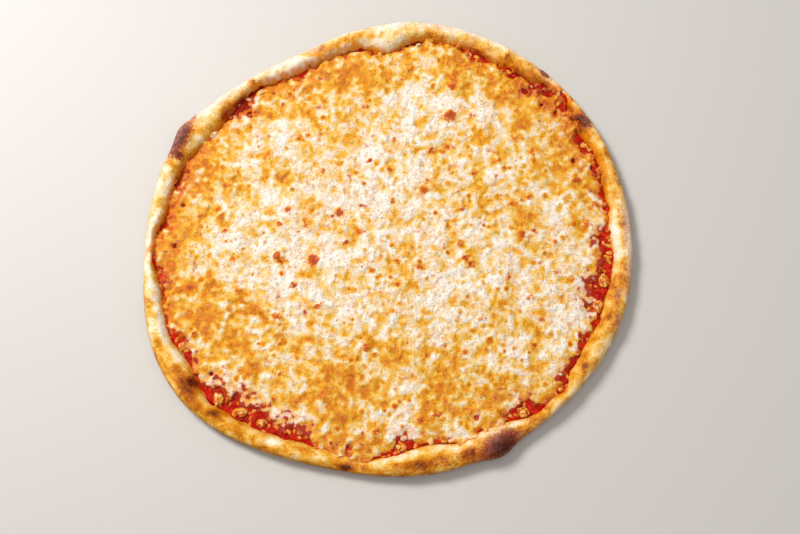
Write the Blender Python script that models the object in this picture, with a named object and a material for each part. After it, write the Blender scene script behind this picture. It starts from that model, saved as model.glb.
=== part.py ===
# A large round cheese pizza with an uneven raised rim: the dough, a layer of tomato sauce,
# the melted cheese, and a few curds that lie apart on the bare sauce.
# Lengths are in millimetres until a mesh is made. Angles are in degrees, anticlockwise
# from +X seen from above. The flat underside is at z = 0, centred on the origin.

import math

import bmesh
import bpy
from mathutils import Vector, noise
from mathutils.geometry import delaunay_2d_cdt

MM = 0.001
STEPS = 180  # every ring has a point at each of these places round the pizza
GAP = 0.3  # clear height between pieces that lie on each other
WALL_GAP = 0.5  # clear space, measured level, between the rim's slope and the layers

# Dough: the outline is a circle with waves, (times round, height, phase), and two bulges.
# Bulges and changes are (place, reach in degrees, size).
MEAN_RADIUS = 203.6
OUTLINE_WAVES = ((1, 4.0, 273), (2, 8.0, 46), (3, 3.1, 234), (4, 1.2, 225), (5, 2.5, 16), (6, 1.8, 211))
OUTLINE_BULGES = ((151, 4.5, 4.9), (297, 4.0, 4.8))
BASE_THICKNESS = 3.5
RIM_WIDTH = 15.5
LEAST_RIM_WIDTH = 9.0
RIM_WIDTH_CHANGES = (
    (2, 5, 2.9), (22, 5, -3.5), (33, 2.5, -1.9), (41, 6, -11.6), (60, 5, 1.4), (90, 6, 10.6),
    (130, 5, -4.8), (150, 7, 10.6), (183, 7, -9.3), (213, 6, 6.9), (264, 4, -4.9), (281, 8, 7.6),
    (297, 5, 9.9), (311, 6, -6.7), (319, 3, -5.5), (331, 4, 2.0), (342, 8, 2.0),
)
RIM_HEIGHT = 14.0
RIM_HEIGHT_CHANGES = (
    (5, 8, 1.0), (41, 6, -2.5), (60, 8, 0.8), (90, 12, 1.6), (125, 8, 0.8), (183, 9, -2.5),
    (214, 9, 1.2), (240, 8, 0.6), (260, 6, -3.4), (282, 6, 0.8), (311, 5, -1.2), (345, 8, 1.0),
)
CROWN_SHARE = 0.5  # how far in from the edge the rim is highest, as a share of its width
SLOPE_SHARE = 0.68  # how wide the slope inside the crown is, as a share of the same width
BELLY_SHARE = 0.42  # how high up the rim is widest
ROUNDNESS = 0.8  # 1 gives an ellipse, and less gives a squarer shoulder
OUTER_STEPS = 6
INNER_STEPS = 4

# Blisters of the rim: (place, radius from the middle, reach, height)
RIM_BLISTERS = (
    (153, 200, 10, 2.6), (296, 196, 13, 3.6), (31.7, 197, 7, 2.2),
    (217, 204, 7, 1.4), (226, 205, 7, 1.4), (104, 180, 6, 1.0),
)

# Layers on the dough
SAUCE_THICKNESS = 1.4
SAUCE_EDGE = 0.4  # how much lower the sauce is at its rounded edge
CHEESE_THICKNESS = 2.8
CHEESE_SIDE = ((0.0, 0.2), (1.1, 0.0), (2.1, 0.9))  # (height, how far in) up the cheese's side
CHEESE_SWELLS = ((34.0, 1.5), (15.0, 1.1))  # (spacing, height) of the soft unevenness on top
CHEESE_TAPER = 6.0  # how far in from its edge the cheese reaches its full height
CHEESE_SPACING = 8.5
CAP_SPACING = 45.0

# Where the sauce shows between the rim and the cheese: (place, reach in degrees, depth)
BARE_SAUCE = (
    (0, 4, 8), (11, 2, 4), (19, 4, 2.5), (28, 3, 4), (39, 3, 6), (49, 2.5, 5), (66, 3, 4),
    (82, 4, 2), (105, 12, 2.5), (135, 5, 7), (151, 3, 2.5), (161, 3, 4), (188, 6, 6),
    (208, 4, 8), (228, 9, 13), (237, 4, 5), (245, 5, 7), (260, 3, 3), (274, 4, 9), (284, 3, 4),
    (307, 4.5, 11), (321, 5, 4), (331, 3, 3), (346, 8, 12),
)

# Blisters of the cheese: (x, y, reach, height)
CHEESE_BLISTERS = (
    (53.5, 110.7, 7.5, 2.4), (-63.8, -19.1, 6.5, 2.0), (36.7, 79.3, 5, 1.5), (27, -154, 6, 1.8),
    (-9.7, -163.7, 5, 1.5), (-94.3, -15.7, 6, 1.4), (-42.3, 23.2, 5, 1.4), (30.4, 42.9, 5, 1.3),
    (113.6, 3.7, 5, 1.4), (60.8, -4.3, 5, 1.3), (-166.8, -42.6, 5, 1.2), (105.8, 31.2, 5, 1.3),
    (-18.4, -93.6, 5, 1.4), (121, -92.8, 6, 1.6), (-143.1, 18.8, 5, 1.5), (88.2, 6.3, 4.5, 1.6),
    (158.2, 12.5, 4.5, 1.4), (-126.3, -45.2, 5, 1.3), (-114, -115.4, 6, 1.5), (78, -133.5, 5, 1.3),
)

# Curds on the bare sauce: (place, radius from the middle, length, width, height, turn)
CURDS = (
    (341.5, 186.0, 7.5, 5.5, 3.0, 70), (348.5, 186.2, 8.0, 6.0, 3.2, 75),
    (224.5, 194.6, 8.5, 6.0, 3.2, 130), (230.8, 190.2, 7.0, 5.5, 3.0, 150),
    (236.5, 187.2, 5.5, 4.5, 2.8, 146), (208.5, 194.4, 5.5, 4.5, 2.6, 118),
    (307.0, 185.0, 8.0, 6.0, 3.2, 35), (273.8, 176.4, 6.0, 4.5, 2.6, 4),
)

FINISHES = {  # colour and roughness of each material
    "baked_dough": ((0.72, 0.45, 0.18), 0.75),
    "tomato_sauce": ((0.36, 0.03, 0.01), 0.35),
    "melted_cheese": ((0.90, 0.58, 0.18), 0.4),
}


def clear_scene():
    for thing in list(bpy.data.objects):
        bpy.data.objects.remove(thing, do_unlink=True)


def angles():
    return [360 * step / STEPS for step in range(STEPS)]


def bumps(angle, changes):
    """The sum of soft bumps round the pizza, each one (place, reach, size)."""
    total = 0
    for place, reach, size in changes:
        away = (angle - place + 180) % 360 - 180
        total += size * math.exp(-((away / reach) ** 2))
    return total


def outline_radius(angle):
    waves = sum(
        height * math.cos(math.radians(times * angle - phase))
        for times, height, phase in OUTLINE_WAVES
    )
    return MEAN_RADIUS + waves + bumps(angle, OUTLINE_BULGES)


def polar(angle, radius):
    turn = math.radians(angle)
    return radius * math.cos(turn), radius * math.sin(turn)


def outline_middle():
    """The middle of the box round the outline, which becomes the origin."""
    places = [polar(angle, outline_radius(angle)) for angle in angles()]
    across = [x for x, y in places]
    along = [y for x, y in places]
    return (min(across) + max(across)) / 2, (min(along) + max(along)) / 2


MIDDLE = outline_middle()


def blister_height(angle, radius):
    x, y = polar(angle, radius)
    total = 0
    for place, distance, reach, height in RIM_BLISTERS:
        middle_x, middle_y = polar(place, distance)
        away = math.hypot(x - middle_x, y - middle_y)
        total += height * math.exp(-((away / reach) ** 2))
    return total


def rim_section(angle):
    """(radius, z) from the edge of the flat underside, out and over the crown, to the floor."""
    outer = outline_radius(angle)
    width = max(LEAST_RIM_WIDTH, RIM_WIDTH + bumps(angle, RIM_WIDTH_CHANGES))
    height = RIM_HEIGHT + bumps(angle, RIM_HEIGHT_CHANGES)
    crown = outer - CROWN_SHARE * width
    belly = BELLY_SHARE * height
    section = []
    for step in range(OUTER_STEPS + 1):
        lean = math.radians(-90 + 180 * step / OUTER_STEPS)
        out = abs(math.cos(lean)) ** ROUNDNESS
        up = abs(math.sin(lean)) ** ROUNDNESS
        z = belly - belly * up if lean < 0 else belly + (height - belly) * up
        section.append((crown + (outer - crown) * out, z))
    for step in range(1, INNER_STEPS + 1):
        share = step / INNER_STEPS
        fall = math.cos(math.pi / 2 * share) ** 2
        z = BASE_THICKNESS + (height - BASE_THICKNESS) * fall
        section.append((crown - SLOPE_SHARE * width * share, z))
    return [raised(angle, radius, z, height) for radius, z in section]


def raised(angle, radius, z, height):
    """A point of the section lifted by the blisters, which die out towards the floor."""
    share = max(0, (z - BASE_THICKNESS) / (height - BASE_THICKNESS))
    return radius, z + blister_height(angle, radius) * share


def wall_radius(section, z):
    """How far out the slope inside the crown is at a height."""
    slope = section[OUTER_STEPS:]
    for (upper_radius, upper_z), (lower_radius, lower_z) in zip(slope, slope[1:]):
        if lower_z <= z <= upper_z:
            share = (upper_z - z) / (upper_z - lower_z)
            return upper_radius + (lower_radius - upper_radius) * share
    return slope[0][0]


SECTIONS = [rim_section(angle) for angle in angles()]


def ring(radii, heights):
    """Points round the pizza about its own middle, one at each angle."""
    points = []
    for angle, radius, z in zip(angles(), radii, heights):
        x, y = polar(angle, radius)
        points.append(Vector((x - MIDDLE[0], y - MIDDLE[1], z)))
    return points


def layer_ring(z, inset):
    """A level ring that follows the rim's slope at a height, a clear gap inside it."""
    radii = [wall_radius(section, z) - WALL_GAP - inset for section in SECTIONS]
    return ring(radii, [z] * STEPS)


def inside(point, outline):
    """Whether a point lies inside a closed outline, by counting the sides beyond it."""
    within = False
    for one, other in zip(outline, outline[1:] + outline[:1]):
        if (one.y > point.y) != (other.y > point.y):
            crossing = one.x + (other.x - one.x) * (point.y - one.y) / (other.y - one.y)
            within ^= point.x < crossing
    return within


def nearest(point, outline):
    return min((point - other.xy).length for other in outline)


def even_points(outline, spacing):
    """Staggered rows of points inside an outline, clear of its edge."""
    row_height = spacing * math.sqrt(3) / 2
    reach = max(point.length for point in outline)
    rows = int(reach / row_height) + 1
    columns = int(reach / spacing) + 1
    found = []
    for row in range(-rows, rows + 1):
        for column in range(-columns, columns + 1):
            shift = 0.25 + 0.5 * (row % 2)
            point = Vector(((column + shift) * spacing, (row + 0.3) * row_height))
            if inside(point, outline) and nearest(point, outline) > 0.6 * spacing:
                found.append(point)
    return found


def lofted(rings):
    """A mesh of quads between rings, open at both ends, with the rings' vertices."""
    mesh = bmesh.new()
    loops = [[mesh.verts.new(point) for point in points] for points in rings]
    for lower, upper in zip(loops, loops[1:]):
        for step in range(STEPS):
            following = (step + 1) % STEPS
            mesh.faces.new((lower[step], lower[following], upper[following], upper[step]))
    return mesh, loops


def close_end(mesh, loop, points, lift):
    """Fills an end ring with triangles through more points, at the heights lift gives."""
    outline = [vertex.co.xy for vertex in loop]
    edge = [list(range(len(outline)))]
    flat, _, triangles, sources, _, _ = delaunay_2d_cdt(outline + points, [], edge, 1, 1e-4)
    vertices = []
    for place, source in zip(flat, sources):
        if source and source[0] < len(loop):
            vertices.append(loop[source[0]])
        else:
            vertices.append(mesh.verts.new((place.x, place.y, lift(place))))
    for triangle in triangles:
        mesh.faces.new([vertices[index] for index in triangle])


def close_flat(mesh, loop):
    outline = [vertex.co.xy for vertex in loop]
    level = loop[0].co.z
    close_end(mesh, loop, even_points(outline, CAP_SPACING), lambda place: level)


def finish(name, mesh, finish_name, collection):
    """Turns the mesh into an object in metres, with its faces out and its own material."""
    bmesh.ops.recalc_face_normals(mesh, faces=mesh.faces)
    if mesh.calc_volume(signed=True) < 0:
        bmesh.ops.reverse_faces(mesh, faces=mesh.faces)
    bmesh.ops.scale(mesh, vec=(MM, MM, MM), verts=mesh.verts)
    data = bpy.data.meshes.new(name)
    mesh.to_mesh(data)
    mesh.free()
    data.shade_smooth()
    data.set_sharp_from_angle(angle=math.radians(60))
    data.materials.append(material(finish_name))
    thing = bpy.data.objects.new(name, data)
    collection.objects.link(thing)
    return thing


def material(name):
    found = bpy.data.materials.get(name)
    if found:
        return found
    colour, roughness = FINISHES[name]
    made = bpy.data.materials.new(name)
    made.use_nodes = True
    shader = made.node_tree.nodes["Principled BSDF"]
    shader.inputs["Base Color"].default_value = (*colour, 1)
    shader.inputs["Roughness"].default_value = roughness
    shader.inputs["Metallic"].default_value = 0
    return made


def make_crust(collection):
    """The dough in one piece: a flat base and the rim round it."""
    rings = []
    for level in range(OUTER_STEPS + INNER_STEPS + 1):
        radii = [section[level][0] for section in SECTIONS]
        heights = [section[level][1] for section in SECTIONS]
        rings.append(ring(radii, heights))
    mesh, loops = lofted(rings)
    close_flat(mesh, loops[0])
    close_flat(mesh, loops[-1])
    return finish("crust", mesh, "baked_dough", collection)


def make_sauce(collection):
    bottom = BASE_THICKNESS + GAP
    top = bottom + SAUCE_THICKNESS
    rings = [layer_ring(bottom, 0), layer_ring(top - SAUCE_EDGE, 0), layer_ring(top, 1.0)]
    mesh, loops = lofted(rings)
    close_flat(mesh, loops[0])
    close_flat(mesh, loops[-1])
    return finish("sauce", mesh, "tomato_sauce", collection)


def cheese_ring(z, inset):
    """A ring of the cheese's side: it meets the rim, or stops short where the sauce is bare."""
    foot = BASE_THICKNESS + SAUCE_THICKNESS + 2 * GAP
    radii = []
    for angle, section in zip(angles(), SECTIONS):
        bare = max(0, bumps(angle, BARE_SAUCE))
        edge = wall_radius(section, foot) - WALL_GAP - bare - inset
        radii.append(min(edge, wall_radius(section, z) - WALL_GAP))
    return ring(radii, [z] * STEPS)


def blister_points():
    """A point at the middle of each cheese blister, and six round it."""
    points = []
    for x, y, reach, height in CHEESE_BLISTERS:
        points.append(Vector((x, y)))
        for turn in range(0, 360, 60):
            across, along = polar(turn, 0.75 * reach)
            points.append(Vector((x + across, y + along)))
    return points


def cheese_points(outline):
    """Even points over the cheese, with those near a blister replaced by its own."""
    clear = []
    for point in even_points(outline, CHEESE_SPACING):
        spare = min(math.hypot(point.x - x, point.y - y) - reach for x, y, reach, _ in CHEESE_BLISTERS)
        if spare > 0.45 * CHEESE_SPACING:
            clear.append(point)
    return clear + blister_points()


def cheese_lift(shoulder, full):
    """A function that gives the cheese's height at a place, from its edge ring."""
    edge_z = shoulder[0].z

    def lift(place):
        swell = sum(
            height * noise.noise(Vector((place.x, place.y, spacing)) / spacing)
            for spacing, height in CHEESE_SWELLS
        )
        share = 1 - math.exp(-nearest(place, shoulder) / CHEESE_TAPER)
        z = edge_z + (full + swell - edge_z) * share
        for x, y, reach, height in CHEESE_BLISTERS:
            away = math.hypot(place.x - x, place.y - y)
            z += height * math.exp(-((away / reach) ** 2) * 2)
        return z

    return lift


def make_cheese(collection):
    """The melted cheese: an uneven sheet with blisters and a broken edge."""
    bottom = BASE_THICKNESS + SAUCE_THICKNESS + 2 * GAP
    rings = [cheese_ring(bottom + height, inset) for height, inset in CHEESE_SIDE]
    shoulder = rings[-1]
    mesh, loops = lofted(rings)
    close_flat(mesh, loops[0])
    lift = cheese_lift(shoulder, bottom + CHEESE_THICKNESS)
    close_end(mesh, loops[-1], cheese_points([point.xy for point in shoulder]), lift)
    return finish("cheese", mesh, "melted_cheese", collection)


def make_curd(name, curd, collection):
    """A flattened round lump with a flat underside, lying on the sauce."""
    place, radius, length, width, height, turn = curd
    x, y = polar(place, radius)
    bottom = BASE_THICKNESS + SAUCE_THICKNESS + 2 * GAP
    mesh = bmesh.new()
    bmesh.ops.create_icosphere(mesh, subdivisions=2, radius=1)
    cosine, sine = math.cos(math.radians(turn)), math.sin(math.radians(turn))
    for vertex in mesh.verts:
        bulge = 1 + 0.25 * noise.noise(vertex.co * 1.5 + Vector((place, 0, 0)))
        long = vertex.co.x * bulge * length / 2
        wide = vertex.co.y * bulge * width / 2
        high = max(vertex.co.z * bulge, -0.35) * height * 0.74
        vertex.co.x = x - MIDDLE[0] + long * cosine - wide * sine
        vertex.co.y = y - MIDDLE[1] + long * sine + wide * cosine
        vertex.co.z = bottom + high + 0.35 * height * 0.74
    return finish(name, mesh, "melted_cheese", collection)


def main():
    clear_scene()
    collection = bpy.data.collections.new("cheese_pizza")
    bpy.context.scene.collection.children.link(collection)
    make_crust(collection)
    make_sauce(collection)
    make_cheese(collection)
    for number, curd in enumerate(CURDS, 1):
        make_curd(f"curd_{number}", curd, collection)


main()
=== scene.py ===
import math

import bmesh
import bpy
import numpy as np
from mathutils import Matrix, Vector, noise
from mathutils.geometry import delaunay_2d_cdt


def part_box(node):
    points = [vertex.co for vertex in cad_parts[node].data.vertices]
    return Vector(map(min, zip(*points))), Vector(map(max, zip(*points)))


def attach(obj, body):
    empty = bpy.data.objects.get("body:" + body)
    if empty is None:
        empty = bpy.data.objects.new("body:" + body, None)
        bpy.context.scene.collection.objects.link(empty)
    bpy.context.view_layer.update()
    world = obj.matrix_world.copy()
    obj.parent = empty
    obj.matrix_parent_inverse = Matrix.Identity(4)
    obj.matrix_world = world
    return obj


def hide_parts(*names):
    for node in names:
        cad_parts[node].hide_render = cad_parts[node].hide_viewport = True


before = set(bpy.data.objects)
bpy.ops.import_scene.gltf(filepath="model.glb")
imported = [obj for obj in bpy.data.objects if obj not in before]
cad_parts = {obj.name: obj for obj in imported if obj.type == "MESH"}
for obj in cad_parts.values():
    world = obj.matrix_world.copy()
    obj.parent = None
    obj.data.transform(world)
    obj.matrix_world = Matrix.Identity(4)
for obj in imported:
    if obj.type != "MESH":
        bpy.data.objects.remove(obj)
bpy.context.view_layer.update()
mm = 0.001  # shapes are worked out in millimetres, and turned to metres when a mesh is made

# the view: straight-on lens, looking steeply down on the pizza
viewPoint = {"lens": 50, "sensor": 36, "place": (9.8, -250.7, 920.0), "lean": 13.9}

# the dough, with the same outline and rim as its solid; changes are (place in degrees, reach, size)
dough = {
    "meanRadius": 203.6,
    "waves": [(1, 4.0, 273), (2, 8.0, 46), (3, 3.1, 234), (4, 1.2, 225), (5, 2.5, 16), (6, 1.8, 211)],
    "bulges": [(151, 4.5, 4.9), (297, 4.0, 4.8)],
    "baseThickness": 3.5,
    "rimWidth": 15.5,
    "leastRimWidth": 9.0,
    "rimWidthChanges": [
        (2, 5, 2.9), (22, 5, -3.5), (33, 2.5, -1.9), (41, 6, -11.6), (60, 5, 1.4), (90, 6, 10.6),
        (130, 5, -4.8), (150, 7, 10.6), (183, 7, -9.3), (213, 6, 6.9), (264, 4, -4.9), (281, 8, 7.6),
        (297, 5, 9.9), (311, 6, -6.7), (319, 3, -5.5), (331, 4, 2.0), (342, 8, 2.0)],
    "rimHeight": 14.0,
    "rimHeightChanges": [
        (5, 8, 1.0), (41, 6, -2.5), (60, 8, 0.8), (90, 12, 1.6), (125, 8, 0.8), (183, 9, -2.5),
        (214, 9, 1.2), (240, 8, 0.6), (260, 6, -3.4), (282, 6, 0.8), (311, 5, -1.2), (345, 8, 1.0)],
    "crownShare": 0.5,
    "slopeShare": 0.53,
    "slopePowers": (2.2, 0.8),
    "bellyShare": 0.42,
    "roundness": 0.8,
    "blisters": [  # (place, radius, reach, height)
        (153, 200, 10, 2.6), (296, 196, 13, 3.6), (31.7, 197, 7, 2.2),
        (217, 204, 7, 1.4), (226, 205, 7, 1.4), (104, 180, 6, 1.0)],
    "unevenness": [(26, 1, 1.3), (12, 2, 0.8)],  # (spacing, step from the seed, height)
    "foldLines": (24, 0.4, 2.6),  # spacing, share and depth
    "stepsAround": 1100,
    "outerSteps": 26,
    "slopeSteps": 18,
    "undersideSpacing": 5.0,
    "floorSpacing": 30.0,
    "skin": {"Wrinkle Size": 0.009, "Wrinkle Height": 0.0011, "Grain Size": 0.0026, "Grain Height": 0.0005,
             "Pore Size": 0.0045, "Pore Depth": 0.0012, "Seed": 3},
}


# Shared shape rules

def softBumps(angle, changes):
    total = np.zeros_like(angle, dtype=float)
    for place, reach, size in changes:
        away = (angle - place + 180) % 360 - 180
        total += size * np.exp(-((away / reach) ** 2))
    return total


def outlineRadius(angle):
    radius = dough["meanRadius"] + softBumps(angle, dough["bulges"])
    for times, height, phase in dough["waves"]:
        radius = radius + height * np.cos(np.radians(times * angle - phase))
    return radius


def outlineMiddle():
    angle = np.arange(0, 360, 2.0)
    radius = outlineRadius(angle)
    x, y = radius * np.cos(np.radians(angle)), radius * np.sin(np.radians(angle))
    return (x.min() + x.max()) / 2, (y.min() + y.max()) / 2


middle = outlineMiddle()


def toPolar(x, y):
    angle = np.degrees(np.arctan2(y + middle[1], x + middle[0])) % 360
    return angle, np.hypot(x + middle[0], y + middle[1])


def fromPolar(angle, radius):
    turn = np.radians(angle)
    return radius * np.cos(turn) - middle[0], radius * np.sin(turn) - middle[1]


def shownWidth(angle):  # how much of the rim shows beside the sauce or the cheese
    return np.maximum(2.5, dough["rimWidth"] + softBumps(angle, dough["rimWidthChanges"]))


def rimSizes(angle):  # outer radius, crown radius, slope width and height of the rim
    outer = outlineRadius(angle)
    width = np.maximum(dough["leastRimWidth"], shownWidth(angle))
    height = dough["rimHeight"] + softBumps(angle, dough["rimHeightChanges"])
    return outer, outer - dough["crownShare"] * width, dough["slopeShare"] * width, height


def patchSum(x, y, patches):  # soft round patches, each (x, y, reach, amount)
    total = np.zeros_like(x)
    for atX, atY, reach, amount in patches:
        total += amount * np.exp(-(np.hypot(x - atX, y - atY) / reach) ** 2)
    return total


def layered(x, y, seed, layers):  # smooth noises, each (spacing, step from the seed, height)
    return sum(height * smoothNoise(x, y, spacing, seed + step) for spacing, step, height in layers)


def blisterLift(x, y):
    places = [(*fromPolar(place, radius), *size) for place, radius, *size in dough["blisters"]]
    return patchSum(x, y, places)


def slopeHeight(share):  # the rounded slope inside the crown, from 1 at its top to 0 at its foot
    along, up = dough["slopePowers"]
    return (1 - share ** along) ** up


def doughWander(x, y):  # unevenness of a rim stretched by hand
    spacing, threshold, depth = dough["foldLines"]
    folds = np.clip(threshold - np.abs(smoothNoise(x, y, spacing, 23)), 0, 1)
    return layered(x, y, 20, dough["unevenness"]) - folds * depth + 0.5


def doughTop(x, y):  # height of the dough's upper surface at any place on it
    angle, radius = toPolar(x, y)
    outer, crown, slope, height = rimSizes(angle)
    base, belly, power = dough["baseThickness"], dough["bellyShare"] * height, dough["roundness"]
    share = np.clip((crown - radius) / slope, 0, 1)
    inside = base + (height - base) * slopeHeight(share)
    out = np.clip((radius - crown) / (outer - crown), 0, 1)
    outside = belly + (height - belly) * (1 - out ** (2 / power)) ** (power / 2)
    z = np.where(radius > crown, outside, inside)
    lift = blisterLift(x, y) + doughWander(x, y)
    return z + lift * np.clip((z - base) / (height - base), 0, 1)


def wallRadius(angle, z):  # how far out the slope inside the crown is at a height
    _, crown, slope, height = rimSizes(angle)
    fall = np.clip((z - dough["baseThickness"]) / (height - dough["baseThickness"]), 0, 1)
    along, up = dough["slopePowers"]
    return crown - slope * (1 - fall ** (1 / up)) ** (1 / along)


def smoothNoise(x, y, spacing, seed):  # gradient noise of about -1 to 1
    lean = np.random.default_rng(seed).uniform(0, 2 * np.pi, (256, 256))
    px, py = x / spacing, y / spacing
    ix, iy = np.floor(px).astype(int), np.floor(py).astype(int)
    fx, fy = px - ix, py - iy

    def corner(dx, dy):
        turn = lean[(ix + dx) & 255, (iy + dy) & 255]
        return np.cos(turn) * (fx - dx) + np.sin(turn) * (fy - dy)

    u, v = fx ** 3 * (fx * (fx * 6 - 15) + 10), fy ** 3 * (fy * (fy * 6 - 15) + 10)
    low = corner(0, 0) * (1 - u) + corner(1, 0) * u
    high = corner(0, 1) * (1 - u) + corner(1, 1) * u
    return (low * (1 - v) + high * v) * 1.6


def evenPoints(points, spacing, margin):  # staggered points inside a closed outline
    xs, ys = points[:, 0], points[:, 1]
    rows = np.arange(ys.min(), ys.max(), spacing * math.sqrt(3) / 2)
    found = []
    for number, y in enumerate(rows):
        x = np.arange(xs.min(), xs.max(), spacing) + (spacing / 2 if number % 2 else 0)
        found.append(np.stack([x, np.full_like(x, y)], 1))
    found = np.concatenate(found)
    angle, radius = toPolar(found[:, 0], found[:, 1])
    edgeAngle, edgeRadius = toPolar(xs, ys)
    order = np.argsort(edgeAngle)
    edge = np.interp(angle, edgeAngle[order], edgeRadius[order], period=360)
    return found[radius < edge - margin]


# Making meshes, trees and materials

def addObject(name, data):
    made = bpy.data.objects.new(name, data)
    bpy.context.scene.collection.objects.link(made)
    return made


def setField(mesh, label, values):  # a number at each point of a mesh, which trees and finishes read
    if label not in mesh.attributes:
        mesh.attributes.new(label, "FLOAT", "POINT")
    mesh.attributes[label].data.foreach_set("value", np.asarray(values, np.float32))


def makePiece(name, points, faces, fields):
    mesh = bpy.data.meshes.new(name)
    mesh.from_pydata((np.asarray(points) * mm).tolist(), [], faces)
    for label, values in fields.items():
        setField(mesh, label, values)
    mesh.shade_smooth()
    return addObject(name, mesh)


def ringFaces(rings, around):  # numbers of points that lie ring by ring, and the faces between the rings
    number = np.arange(rings * around).reshape(rings, around)
    following = np.roll(number, -1, axis=1)
    faces = np.stack([number[:-1], following[:-1], following[1:], number[1:]], -1)
    return number, faces.reshape(-1, 4).tolist()


def applyTree(piece, tree, sizes):
    # runs a Geometry Nodes tree with its named inputs, and keeps the result as a plain mesh
    modifier = piece.modifiers.new(tree.name, "NODES")
    modifier.node_group = tree
    sockets = {item.name: item.identifier for item in tree.interface.items_tree if item.in_out == "INPUT"}
    for label, value in sizes.items():
        modifier[sockets[label]] = value
    bpy.context.view_layer.update()
    graph = bpy.context.evaluated_depsgraph_get()
    made = bpy.data.meshes.new_from_object(piece.evaluated_get(graph), depsgraph=graph)
    piece.modifiers.clear()
    piece.data = made
    made.shade_smooth()
    return piece


def newTree(name, inputs):
    tree = bpy.data.node_groups.new(name, "GeometryNodeTree")
    tree.interface.new_socket("Geometry", in_out="INPUT", socket_type="NodeSocketGeometry")
    kinds = {float: "NodeSocketFloat", int: "NodeSocketInt", None: "NodeSocketMaterial"}
    for label, value in inputs.items():
        kind = kinds[None if value is None else type(value)]
        socket = tree.interface.new_socket(label, in_out="INPUT", socket_type=kind)
        if value is not None:
            socket.default_value = value
    tree.interface.new_socket("Geometry", in_out="OUTPUT", socket_type="NodeSocketGeometry")
    return tree, tree.nodes.new("NodeGroupInput")


def feed(tree, node, links):  # links are {input name or number: an output socket or a value}
    for key, value in dict(links).items():
        socket = node.inputs[key]
        if isinstance(value, bpy.types.NodeSocket):
            tree.links.new(value, socket)
        else:
            socket.default_value = value


def add(tree, kind, links=(), **values):
    node = tree.nodes.new(kind)
    for label, value in values.items():
        setattr(node, label, value)
    feed(tree, node, links)
    return node


def maths(tree, operation, *values):
    return add(tree, "ShaderNodeMath", dict(enumerate(values)), operation=operation).outputs[0]


def times(tree, one, other):
    return maths(tree, "MULTIPLY", one, other)


def varied(tree, value, pattern, amount):  # a value that a pattern from 0 to 1 moves up and down
    return maths(tree, "ADD", value, times(tree, maths(tree, "SUBTRACT", pattern, 0.5), amount))


def combined(tree, x=0.0, y=0.0, z=0.0):
    return add(tree, "ShaderNodeCombineXYZ", {0: x, 1: y, 2: z}).outputs[0]


def scaled(tree, vector, size):
    return add(tree, "ShaderNodeVectorMath", {0: vector, "Scale": size}, operation="SCALE").outputs[0]


def endTree(tree, geometry, material):
    real = add(tree, "GeometryNodeRealizeInstances", {0: geometry}).outputs[0]
    dressed = add(tree, "GeometryNodeSetMaterial", {"Geometry": real, "Material": material}).outputs[0]
    add(tree, "NodeGroupOutput", {0: dressed})


def skinTree():
    # fine relief along the normals of a piece, where its own "relief" attribute lets it
    tree, given = newTree("bakedSkin", {
        "Wrinkle Size": 0.006, "Wrinkle Height": 0.0006, "Grain Size": 0.0015, "Grain Height": 0.0002,
        "Pore Size": 0.004, "Pore Depth": 0.0003, "Seed": 1, "Finish": None})
    allowed = add(tree, "GeometryNodeInputNamedAttribute", {"Name": "relief"}).outputs["Attribute"]
    place = add(tree, "GeometryNodeInputPosition").outputs[0]
    shift = combined(tree, given.outputs["Seed"])
    moved = add(tree, "ShaderNodeVectorMath", {0: place, 1: shift}, operation="ADD").outputs[0]

    def layer(size, height):
        scale = maths(tree, "DIVIDE", 1.0, given.outputs[size])
        grain = add(tree, "ShaderNodeTexNoise", {"Vector": moved, "Scale": scale, "Detail": 2.0}).outputs[0]
        return times(tree, maths(tree, "SUBTRACT", grain, 0.5), given.outputs[height])

    poreScale = maths(tree, "DIVIDE", 1.0, given.outputs["Pore Size"])
    pore = add(tree, "ShaderNodeTexVoronoi", {"Vector": moved, "Scale": poreScale}).outputs["Distance"]
    hole = maths(tree, "MAXIMUM", maths(tree, "SUBTRACT", 0.35, pore), 0.0)
    depth = times(tree, hole, given.outputs["Pore Depth"])
    wrinkles, grain = layer("Wrinkle Size", "Wrinkle Height"), layer("Grain Size", "Grain Height")
    height = maths(tree, "SUBTRACT", maths(tree, "ADD", wrinkles, grain), depth)
    height = times(tree, height, allowed)
    offset = scaled(tree, add(tree, "GeometryNodeInputNormal").outputs[0], height)
    links = {"Geometry": given.outputs[0], "Offset": offset}
    lifted = add(tree, "GeometryNodeSetPosition", links).outputs[0]
    endTree(tree, lifted, given.outputs["Finish"])
    return tree


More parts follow.
